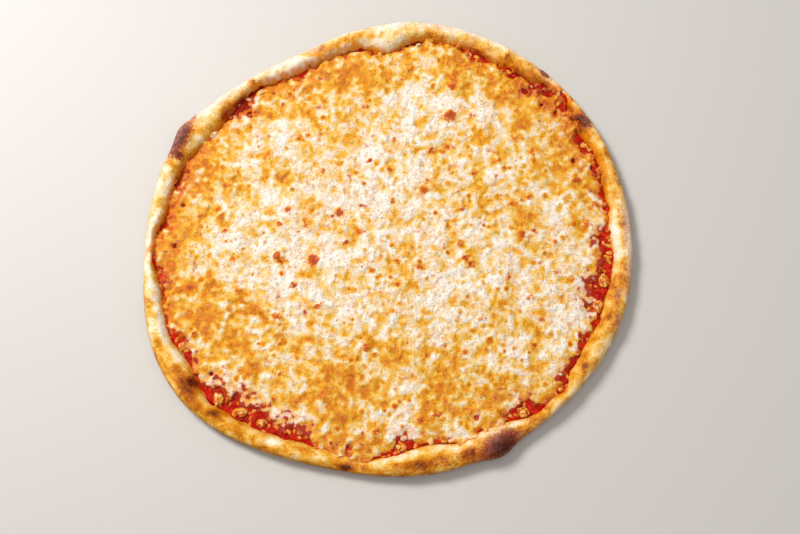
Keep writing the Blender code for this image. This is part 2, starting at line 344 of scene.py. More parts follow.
def grainTree():
    # small round things scattered where a piece's "scatter" attribute is high
    tree, given = newTree("scatteredGrains", {
        "Count per Area": 1000.0, "Least Size": 0.0003, "Most Size": 0.0008, "Length": 1.0, "Flatness": 0.6,
        "Sink": 0.2, "Roundness": 1, "Seed": 1, "Finish": None})
    allowed = add(tree, "GeometryNodeInputNamedAttribute", {"Name": "scatter"}).outputs["Attribute"]
    seed, density = given.outputs["Seed"], times(tree, allowed, given.outputs["Count per Area"])
    links = {"Mesh": given.outputs[0], "Density": density, "Seed": seed}
    spread = add(tree, "GeometryNodeDistributePointsOnFaces", links)
    size = add(tree, "FunctionNodeRandomValue", {
        2: given.outputs["Least Size"], 3: given.outputs["Most Size"], "Seed": seed}).outputs[1]
    links = {"Radius": 1.0, "Subdivisions": given.outputs["Roundness"]}
    grain = add(tree, "GeometryNodeMeshIcoSphere", links).outputs[0]
    shape = combined(tree, given.outputs["Length"], 1.0, given.outputs["Flatness"])
    turn = combined(tree, z=add(tree, "FunctionNodeRandomValue", {3: 6.283, "Seed": 7}).outputs[1])
    links = {0: spread.outputs["Rotation"], 1: turn}
    aimed = add(tree, "FunctionNodeRotateRotation", links, rotation_space="LOCAL").outputs[0]
    placed = add(tree, "GeometryNodeInstanceOnPoints", {
        "Points": spread.outputs["Points"], "Instance": grain, "Rotation": aimed,
        "Scale": scaled(tree, shape, size)}).outputs[0]
    drop = times(tree, size, times(tree, given.outputs["Sink"], -1.0))
    links = {0: placed, "Translation": combined(tree, z=drop)}
    sunk = add(tree, "GeometryNodeTranslateInstances", links).outputs[0]
    endTree(tree, sunk, given.outputs["Finish"])
    return tree


def rgb(red, green, blue):  # a screen colour, 0 to 255, as the renderer's linear one
    def linear(part):
        part /= 255
        return part / 12.92 if part < 0.04045 else ((part + 0.055) / 1.055) ** 2.4
    return (linear(red), linear(green), linear(blue), 1)


def newMaterial(name):
    material = bpy.data.materials.new(name)
    material.use_nodes = True
    tree = material.node_tree
    return material, tree, tree.nodes["Principled BSDF"]


def fieldOf(tree, name):
    return add(tree, "ShaderNodeAttribute", attribute_name=name).outputs["Fac"]


def texture(tree, size, detail=2.0, roughness=0.5, distortion=0.0):
    place = add(tree, "ShaderNodeTexCoord").outputs["Object"]
    return add(tree, "ShaderNodeTexNoise", {
        "Vector": place, "Scale": 1 / (size * mm), "Detail": detail, "Roughness": roughness,
        "Distortion": distortion}).outputs[0]


def ramp(tree, factor, stops):
    node = add(tree, "ShaderNodeValToRGB", {0: factor})
    while len(node.color_ramp.elements) < len(stops):
        node.color_ramp.elements.new(0.5)
    for element, (position, colour) in zip(node.color_ramp.elements, stops):
        element.position = position
        element.color = colour
    return node.outputs[0]


def toneRamp(tree, factor, stops):  # the same with screen colours
    return ramp(tree, factor, [(position, rgb(*colour)) for position, colour in stops])


def mixColour(tree, factor, one, other, blend="MIX"):
    links = {0: factor, 6: one, 7: other}
    return add(tree, "ShaderNodeMix", links, data_type="RGBA", blend_type=blend).outputs[2]


def painted(tree, factor, under, colour):  # a screen colour laid over what is there already
    return mixColour(tree, factor, under, rgb(*colour))


def rangeOf(tree, value, low, high, toLow=0.0, toHigh=1.0):
    links = {0: value, 1: low, 2: high, 3: toLow, 4: toHigh}
    return add(tree, "ShaderNodeMapRange", links, interpolation_type="SMOOTHSTEP").outputs[0]


def bumpOf(tree, height, strength, distance):
    links = {"Height": height, "Strength": strength, "Distance": distance * mm}
    return add(tree, "ShaderNodeBump", links).outputs[0]


# Dough

doughColours = {
    "tones": [
        (0.0, (249, 236, 218)), (0.12, (246, 224, 188)), (0.26, (240, 198, 120)), (0.4, (230, 166, 50)),
        (0.54, (210, 132, 14)), (0.72, (176, 90, 6)), (1.0, (94, 40, 8))],
    "burnt": [(0.2, (186, 92, 18)), (0.45, (146, 58, 12)), (0.75, (104, 34, 8)), (1.0, (62, 18, 8))],
    "oily": (241, 142, 12),
    "soaked": (160, 34, 2),
    # a pale haze over the char, partly painted sheen on its top
    "hazeAndSheenColour": (156, 100, 92),
    "floury": (232, 207, 196),
    "dusted": (252, 238, 210),
}


def crustFinish():
    material, tree, shader = newMaterial("bakedDough")
    bake, char, oil, flour, soak = [fieldOf(tree, name) for name in ("bake", "char", "oil", "flour", "soak")]
    coarse, fine, speck = texture(tree, 7, 3), texture(tree, 2.2, 3), texture(tree, 0.9, 2)
    tone = varied(tree, varied(tree, bake, coarse, 0.34), fine, 0.42)
    colour = toneRamp(tree, tone, doughColours["tones"])
    colour = painted(tree, rangeOf(tree, oil, 0.1, 1.0, 0.0, 0.75), colour, doughColours["oily"])
    wet = times(tree, soak, rangeOf(tree, coarse, 0.3, 0.6, 0.6, 1.3))
    colour = painted(tree, rangeOf(tree, wet, 0.15, 0.9, 0.0, 0.9), colour, doughColours["soaked"])
    burn = varied(tree, char, fine, 0.5)
    burnt = toneRamp(tree, burn, doughColours["burnt"])
    colour = mixColour(tree, rangeOf(tree, burn, 0.08, 0.5), colour, burnt)
    # a pale haze over the char, partly painted sheen on its top
    hazeAndSheen = times(tree, fieldOf(tree, "charHazeAndSheen"), rangeOf(tree, coarse, 0.3, 0.65, 0.35, 1.0))
    colour = painted(tree, hazeAndSheen, colour, doughColours["hazeAndSheenColour"])
    veil = times(tree, rangeOf(tree, flour, 0.3, 1.1), rangeOf(tree, fine, 0.3, 0.6, 0.5, 0.9))
    colour = painted(tree, veil, colour, doughColours["floury"])
    dust = times(tree, flour, rangeOf(tree, speck, 0.52, 0.72))
    colour = painted(tree, dust, colour, doughColours["dusted"])
    # painted shade in the hollows of the fine grain, and a little painted light on its tops
    shade = rangeOf(tree, speck, 0.3, 0.65, 0.8, 1.06)
    relief = maths(tree, "ADD", times(tree, fine, 0.6), times(tree, speck, 0.4))
    feed(tree, shader, {
        "Base Color": mixColour(tree, 1.0, colour, shade, "MULTIPLY"),
        "Roughness": rangeOf(tree, oil, 0.0, 1.0, 0.6, 0.36), "Normal": bumpOf(tree, relief, 1.0, 1.1),
        "Specular IOR Level": 0.13, "Subsurface Weight": 0.08, "Subsurface Radius": (0.004, 0.002, 0.001)})
    return material


crustLooks = {
    # (place in degrees, reach, how much browner) outside, on the crown, on the slope inside, at its foot
    "outerTones": [
        (2, 8, -0.08), (20, 8, 0.05), (36, 6, 0.0), (62, 12, -0.2), (90, 18, -0.28), (122, 12, -0.3),
        (140, 6, -0.2), (168, 9, -0.1), (184, 6, -0.12), (204, 7, 0.0), (222, 9, 0.12), (245, 9, 0.1),
        (262, 9, 0.06), (282, 10, 0.0), (305, 8, -0.02), (325, 9, -0.06), (350, 9, -0.08)],
    "crownTones": [
        (1, 7, 0.26), (20, 8, 0.12), (36, 8, 0.2), (52, 6, 0.14), (64, 8, 0.06), (88, 12, -0.02),
        (103, 10, 0.26), (121, 7, -0.14), (131, 4, 0.0), (142, 6, 0.02), (165, 8, -0.06),
        (182, 8, -0.18), (200, 7, 0.1), (218, 10, 0.38), (230, 6, 0.22), (246, 7, 0.06), (260, 6, 0.32),
        (272, 8, 0.2), (283, 7, 0.2), (308, 8, 0.12), (326, 8, 0.14), (344, 10, 0.34)],
    "slopeTones": [
        (2, 9, -0.2), (20, 10, 0.3), (34, 8, 0.32), (52, 8, 0.3), (68, 7, 0.14), (80, 6, 0.24),
        (92, 7, -0.08), (104, 9, -0.14), (121, 8, -0.24), (133, 5, 0.12), (142, 6, 0.36),
        (159, 4, 0.04), (168, 4, -0.1), (178, 5, 0.02), (190, 6, 0.1), (201, 6, -0.26), (214, 4, -0.14),
        (228, 6, 0.1), (243, 9, 0.12), (260, 5, 0.28), (274, 9, -0.04), (287, 5, -0.08),
        (301, 6, -0.34), (318, 8, 0.22), (330, 8, 0.22), (344, 12, 0.3)],
    "footTones": [
        (20, 16, 0.3), (50, 18, 0.3), (80, 16, 0.15), (112, 16, 0.0), (140, 14, 0.3), (165, 12, 0.35),
        (182, 12, 0.3), (240, 10, 0.1), (262, 8, 0.15)],
    "oilyStretches": [  # (place, reach, millimetres more of oily rim beside the sauce)
        (18, 12, 3), (38, 14, 5), (62, 12, 5), (82, 8, 3), (110, 15, 8), (130, 12, 6), (172, 14, 5),
        (260, 5, 4)],
    "flourStretches": [  # (place, reach, how much more flour)
        (0, 12, 0.6), (34, 10, 0.25), (74, 22, 0.55), (122, 14, 0.6), (142, 8, 0.6), (162, 14, 0.25),
        (184, 10, 0.25), (225, 20, -0.3), (256, 14, -0.3), (284, 10, -0.2), (312, 14, 0.1),
        (342, 10, 0.1)],
    # marks: (place in degrees, millimetres in from the outer edge, reach along, reach across, strength)
    "spots": [
        (325.7, 8.5, 4, 3.5, 0.6), (339, 4, 6, 3, 0.35), (350, 2.5, 16, 3, 0.25),
        (339.3, 11, 4, 3, 0.3), (345, 9.5, 6, 3, 0.2), (259.7, 3.3, 6, 3, 0.7), (274, 3, 12, 4, 0.2),
        (130.3, 5.8, 2.5, 2.5, 0.65), (117.7, 1.6, 2.5, 2, 0.7), (113.3, 3.4, 9, 3, 0.4),
        (3, 6, 12, 3, 0.3), (9, 3.5, 8, 2.5, 0.25), (75.3, 14.5, 1.5, 4, 0.45),
        (57.5, 9.5, 1.5, 3, 0.5), (21, 4, 9, 3, 0.2), (14, 2.5, 5, 2, 0.3), (171, 7, 6, 4, 0.3),
        (206, 8, 7, 3, 0.2), (237, 7, 9, 3, 0.2), (249, 10, 5, 3, 0.2), (67, 8, 6, 3, 0.25),
        (80, 9, 5, 3, 0.2), (312, 6, 4, 3, 0.3), (302, 16, 5, 4, 0.3), (122, 9, 6, 3, 0.2),
        (98, 7, 5, 3, 0.2), (217.6, 14, 13, 9, 0.45), (226.8, 11, 5, 4, 0.6), (297, 8, 30, 14, 0.5),
        (279, 6, 26, 8, 0.3), (309, 8, 10, 8, 0.3), (152, 6, 20, 8, 0.35), (31.5, 9, 9, 9, 0.35),
        (104.3, 12, 4, 3, 0.45), (161, 8, 4, 6, 0.3), (109, 5, 5, 3, 0.25), (86, 9, 8, 3, 0.15)],
    "charSpots": [
        (154, 6, 18, 7, 1.15), (158, 11, 5, 5, 0.7), (147.5, 3, 5, 3, 0.5), (298, 7.5, 19, 10, 1.1),
        (290, 8, 12, 7, 0.5), (307, 9, 5, 5, 0.35), (32.6, 9.6, 5, 6, 1.25), (31, 6.5, 6.5, 6, 0.85),
        (217.6, 16, 6.5, 4.6, 0.85), (219.5, 19, 3, 3, 0.4), (47.3, 3.6, 7, 2.6, 0.75),
        (285, 6, 10, 6, 0.3), (45.2, 10, 1.6, 1.6, 1.2)],
    # a pale haze over the char, partly painted sheen on its top
    "charHazeAndSheenPlaces": [
        (154, 3, 17, 4.5, 0.95), (297.5, 16, 12, 6, 0.75), (47.3, 3, 7, 2.4, 0.8), (31, 5, 5, 2.5, 0.6),
        (296, 8, 8, 3, 0.3)],
    "soakedPlaces": [
        (137, 15, 13, 3, 1.0), (142, 17, 8, 3, 0.8), (155, 12, 7, 3.5, 0.6), (163.5, 18, 8, 4, 0.9),
        (23, 15, 22, 2.6, 0.9), (13, 17, 14, 2.4, 0.7), (65, 15.5, 15, 2.6, 0.8), (52, 15, 12, 3, 0.9),
        (44, 10, 20, 5, 0.8), (36, 11, 10, 5, 0.7), (83, 20, 12, 3, 0.6), (97, 22, 12, 4, 0.5),
        (220, 22, 12, 3, 0.7), (303, 20, 14, 3, 0.7), (318, 10, 16, 3, 0.5)],
    # how baked it is from the foot outside, over the crown, to the foot inside: (share of the way, tone)
    "profile": [
        (0, 0.58), (0.06, 0.64), (0.16, 0.68), (0.28, 0.58), (0.38, 0.42), (0.48, 0.32), (0.58, 0.24),
        (0.7, 0.2), (0.85, 0.24), (1.0, 0.3)],
    # where each list of tones counts: (its name, share of the way, reach)
    "toneZones": [("outer", 0.43, 0.17), ("crown", 0.63, 0.16), ("slope", 0.83, 0.17), ("foot", 1.0, 0.14)],
    "seed": 21,
}


def spotField(x, y, spots):
    angle, radius = toPolar(x, y)
    total = np.zeros_like(x)
    for place, inward, along, across, strength in spots:
        out = outlineRadius(np.array(float(place))) - inward
        away = (angle - place + 180) % 360 - 180
        distance = np.hypot(np.radians(away) * out / along, (radius - out) / across)
        total = np.maximum(total, strength * np.exp(-distance ** 2 * 1.2))
    return total


def crustRings():
    # points of the rim by ring and place, from the flat underside out and over to the floor inside
    angle = np.arange(dough["stepsAround"]) * 360 / dough["stepsAround"]
    outer, crown, slope, height = rimSizes(angle)
    base, belly, power = dough["baseThickness"], dough["bellyShare"] * height, dough["roundness"]
    radii, heights, along = [], [], []
    for step in range(dough["outerSteps"] + 1):
        lean = math.radians(-90 + 180 * step / dough["outerSteps"])
        out, up = abs(math.cos(lean)) ** power, abs(math.sin(lean)) ** power
        radii.append(crown + (outer - crown) * out)
        heights.append(belly - belly * up if lean < 0 else belly + (height - belly) * up)
        along.append(0.6 * step / dough["outerSteps"])
    for step in range(1, dough["slopeSteps"] + 1):
        share = math.sin(math.pi / 2 * step / dough["slopeSteps"])
        radii.append(crown - slope * share)
        heights.append(base + (height - base) * slopeHeight(share))
        along.append(0.6 + 0.4 * share)
    x, y = fromPolar(angle, np.array(radii))
    return x, y, np.array(heights), angle + 0 * x, np.array(along)[:, None] + 0 * x, height + 0 * x


def crustFields(x, y, z, angle, along, height, char, wander):
    # colours and finish of the rim, from 0 to 1 at each of its points
    seed = crustLooks["seed"]
    profile = np.interp(along, *zip(*crustLooks["profile"]))
    for label, centre, reach in crustLooks["toneZones"]:
        inZone = np.clip(1 - np.abs(along - centre) / reach, 0, 1) ** 0.6
        profile = profile + inZone * softBumps(angle, crustLooks[label + "Tones"])
    bake = profile + spotField(x, y, crustLooks["spots"])
    # patterns run on down the outer side, so they are read as if it were rolled out flat
    radius = toPolar(x, y)[1]
    flatX, flatY = fromPolar(angle, radius + np.where(along < 0.6, 1.2 * (height - z), 0))
    bake += layered(flatX, flatY, seed, [(17, 4, 0.18), (6.5, 5, 0.16)]) - wander * 0.04
    bake += np.clip(smoothNoise(flatX, flatY, 4.5, seed + 8) - 0.4, 0, 1) * 0.5 * (along < 0.7)
    inside = along > 0.5
    fromSauce = radius - (outlineRadius(angle) - shownWidth(angle))
    soaked = 0.8 + softBumps(angle, crustLooks["oilyStretches"])
    oil = np.clip(1 - fromSauce / soaked + smoothNoise(x, y, 5, seed + 6) * 0.8, 0, 1) * inside
    flour = np.interp(along, [0, 0.2, 0.45, 0.6, 1], [0.5, 0.4, 0.3, 0.15, 0.05])
    onTop = np.interp(along, [0.08, 0.3, 0.5, 0.66, 1], [0, 0.8, 1, 0.3, 0])
    flour = flour + softBumps(angle, crustLooks["flourStretches"]) * onTop
    flour = np.clip(flour + smoothNoise(flatX, flatY, 14, seed + 7) * 0.25, 0, 1)
    flour = flour * (1 - 0.7 * np.clip(char, 0, 1))
    soak = spotField(x, y, crustLooks["soakedPlaces"]) * inside
    # the haze and painted sheen on the char are full over the crown and fade out towards the outer foot
    charHazeAndSheen = spotField(x, y, crustLooks["charHazeAndSheenPlaces"]) * np.interp(along, [0, 0.22, 0.34, 0.6], [0, 0.2, 1, 1])
    relief = 0.25 + 0.75 * (along > 0.05)
    grains = flour * (along > 0.08) * (along < 0.75)
    return {"bake": bake, "char": char, "oil": oil, "flour": flour, "soak": soak, "relief": relief,
            "charHazeAndSheen": charHazeAndSheen, "scatter": grains}


def makeCrust():
    x, y, z, angle, along, height = crustRings()
    base, seed = dough["baseThickness"], crustLooks["seed"]
    share = np.clip((z - base) / (height - base), 0, 1)
    wander = doughWander(x, y)
    z = z + blisterLift(x, y) * share + wander * share
    char = spotField(x, y, crustLooks["charSpots"])
    crumple = np.abs(smoothNoise(x, y, 3.0, seed + 2)) * 0.45
    crumple += np.abs(smoothNoise(x, y, 6.5, seed + 3)) * 0.9
    z = z + (crumple - 0.4) * np.clip(char * 1.3, 0, 1) * share
    char = np.clip(char + layered(x, y, seed, [(6, 10, 1), (2.6, 11, 1)]) * 0.25 * char, 0, 1)
    fields = crustFields(x, y, z, angle, along, height, char, wander)
    fields = {label: values.ravel() for label, values in fields.items()}
    number, faces = ringFaces(*x.shape)
    points = np.stack([x, y, z], -1).reshape(-1, 3)
    # the underside and the floor under the sauce
    points, faces, fields = closeRing(points, faces, fields, number[0], dough["undersideSpacing"], underside)
    points, faces, fields = closeRing(points, faces, fields, number[-1], dough["floorSpacing"], doughFloor)
    return makePiece("crust", points, faces, fields)


def underside(x, y):
    # the flat baked base: it touches down nearly everywhere, with browned and pale patches
    seed, none = crustLooks["seed"] + 20, np.zeros_like(x)
    lift = np.clip(smoothNoise(x, y, 13, seed) - 0.1, 0, 1) * 0.5
    bake = 0.57 + smoothNoise(x, y, 24, seed + 1) * 0.14 + smoothNoise(x, y, 9, seed + 2) * 0.2
    char = np.clip(smoothNoise(x, y, 8, seed + 3) * 1.3 - 0.45, 0, 0.6)
    return lift, {"bake": bake, "char": char, "oil": none, "flour": 0.3 + none, "relief": 0.2 + none,
                  "charHazeAndSheen": none, "scatter": none, "soak": none}


def doughFloor(x, y):
    labels = ("bake", "char", "oil", "flour", "soak", "relief", "charHazeAndSheen", "scatter")
    return np.full_like(x, dough["baseThickness"]), {label: np.zeros_like(x) for label in labels}


def closeRing(points, faces, fields, ring, spacing, rule, down=None):
    # fills a ring of points with triangles, through even points whose height and fields the rule gives
    edge = points[ring][:, :2]
    extra = evenPoints(edge, spacing, spacing * 0.6)
    places = [Vector(place) for place in np.concatenate([edge, extra])]
    sides = [(one, (one + 1) % len(ring)) for one in range(len(ring))]
    _, _, triangles, sources, _, _ = delaunay_2d_cdt(places, sides, [], 1, 1e-5)
    z, more = rule(extra[:, 0], extra[:, 1])
    numbers = np.concatenate([ring, len(points) + np.arange(len(extra))])
    if down is None:
        down = points[ring][:, 2].mean() < 0.5  # a ring at the very bottom is closed facing down
    for triangle in triangles:
        corners = [int(numbers[sources[index][0]]) for index in triangle]
        faces.append(corners[::-1] if down else corners)
    points = np.concatenate([points, np.column_stack([extra, z])])
    return points, faces, {label: np.concatenate([values, more[label]]) for label, values in fields.items()}


# Sauce

sauce = {
    "top": 5.2, "thickness": 1.4, "edgeWander": 2.0, "filmHeight": 0.35, "pulpHeight": 1.1, "seed": 61,
    "stepsAround": 900, "ringsAcross": 26, "bandWidth": 34.0, "hiddenEdge": 1.8, "tuck": 0.4, "skirt": 1.2,
    "lowerHeight": 4.0, "bottomSpacing": 40.0, "middleSpacing": 12.0,
    "footShadeStretches": [  # painted shade along the foot of the rim: (place in degrees, reach, how much darker)
        (136, 7, 0.9), (84, 5, 0.8), (97, 5, 0.6), (51, 6, 0.5), (22, 8, 0.45), (164, 5, 0.6),
        (178, 5, 0.4), (325, 6, 0.3)],
}


sauceColours = {
    "tones": [(0.3, (104, 2, 0)), (0.44, (156, 7, 0)), (0.56, (194, 20, 1)), (0.74, (216, 76, 6))],
    # the colour of the painted shade along the foot of the rim
    "footShade": (92, 16, 2),
    "shine": (1, 0.5, 0.35, 1),
}


def sauceFinish():
    material, tree, shader = newMaterial("tomatoSauce")
    depth, pulp, shine = texture(tree, 6, 3), texture(tree, 1.8, 3), texture(tree, 3.5, 2)
    tone = maths(tree, "ADD", times(tree, depth, 0.55), times(tree, pulp, 0.45))
    colour = toneRamp(tree, tone, sauceColours["tones"])
    # painted shade: the sauce is darkened along the foot of the rim
    footShade = times(tree, fieldOf(tree, "footShade"), rangeOf(tree, pulp, 0.3, 0.6, 1.0, 0.6))
    feed(tree, shader, {
        "Base Color": painted(tree, footShade, colour, sauceColours["footShade"]),
        "Roughness": rangeOf(tree, shine, 0.35, 0.65, 0.08, 0.24), "Normal": bumpOf(tree, pulp, 1.0, 1.6),
        "Specular IOR Level": 0.3, "Specular Tint": sauceColours["shine"]})
    return material


def sauceTop(x, y):
    pulp = layered(x, y, sauce["seed"], [(6, 0, 0.5), (2.8, 1, 0.5)])
    level = sauce["top"] + np.clip(pulp, -0.6, 1) * sauce["pulpHeight"]
    return np.maximum(level, doughTop(x, y) + sauce["filmHeight"])


def makeSauce():
    angle = np.arange(sauce["stepsAround"]) * 360 / sauce["stepsAround"]
    x, y = fromPolar(angle, 190.0)  # near the rim, where the edge's wander is read
    wander = layered(x, y, sauce["seed"], [(11, 5, 1), (5, 6, 0.25)])
    hidden = 1 - np.clip(softBumps(angle, cheese["bareSauce"]) / 3, 0, 1)
    edge = outlineRadius(angle) - shownWidth(angle) + wander * sauce["edgeWander"]
    edge = edge - sauce["hiddenEdge"] * hidden
    share = np.linspace(0, 1, sauce["ringsAcross"])[:, None]
    x, y = fromPolar(angle, edge - share ** 1.3 * sauce["bandWidth"])
    z = sauceTop(x, y)
    z[0] = doughTop(x[0], y[0]) - sauce["tuck"]  # the edge tucks into the dough
    cover = coverOf(x, y)[0]
    showing = np.clip(-cover / 2, 0, 1) * (cover > -9)
    showing[:2] = 0
    lowX, lowY = fromPolar(angle, np.minimum(wallRadius(angle, sauce["lowerHeight"]), edge - 1.0))
    bottom = sauce["top"] - sauce["thickness"]
    points = np.concatenate([
        np.stack([lowX, lowY, np.full_like(lowX, bottom)], -1),
        np.stack([x[0], y[0], doughTop(x[0], y[0]) - sauce["skirt"]], -1),
        np.stack([x, y, z], -1).reshape(-1, 3)])
    number, faces = ringFaces(len(x) + 2, len(angle))
    none = np.zeros(2 * len(angle))
    fields = {"scatter": showing, "warm": 0.75 + smoothNoise(x, y, 6, 8) * 0.5,
              "toast": 0.18 + smoothNoise(x, y, 5, 9) * 0.4, "blush": 0.5 + smoothNoise(x, y, 4, 10) * 0.6}
    fields = {label: np.concatenate([none, values.ravel()]) for label, values in fields.items()}
    # painted shade along the foot of the rim, by place around
    fields["footShade"] = np.tile(softBumps(angle, sauce["footShadeStretches"]), len(number))

    def covered(level):  # nothing shows there, so its fields are empty
        return lambda x, y: (level(x, y), {label: np.zeros_like(x) for label in fields})

    below = covered(lambda x, y: np.full_like(x, bottom))
    points, faces, fields = closeRing(points, faces, fields, number[0], sauce["bottomSpacing"], below, True)
    points, faces, fields = closeRing(
        points, faces, fields, number[-1], sauce["middleSpacing"], covered(sauceTop), False)
    return makePiece("sauce", points, faces, fields)


# Cheese

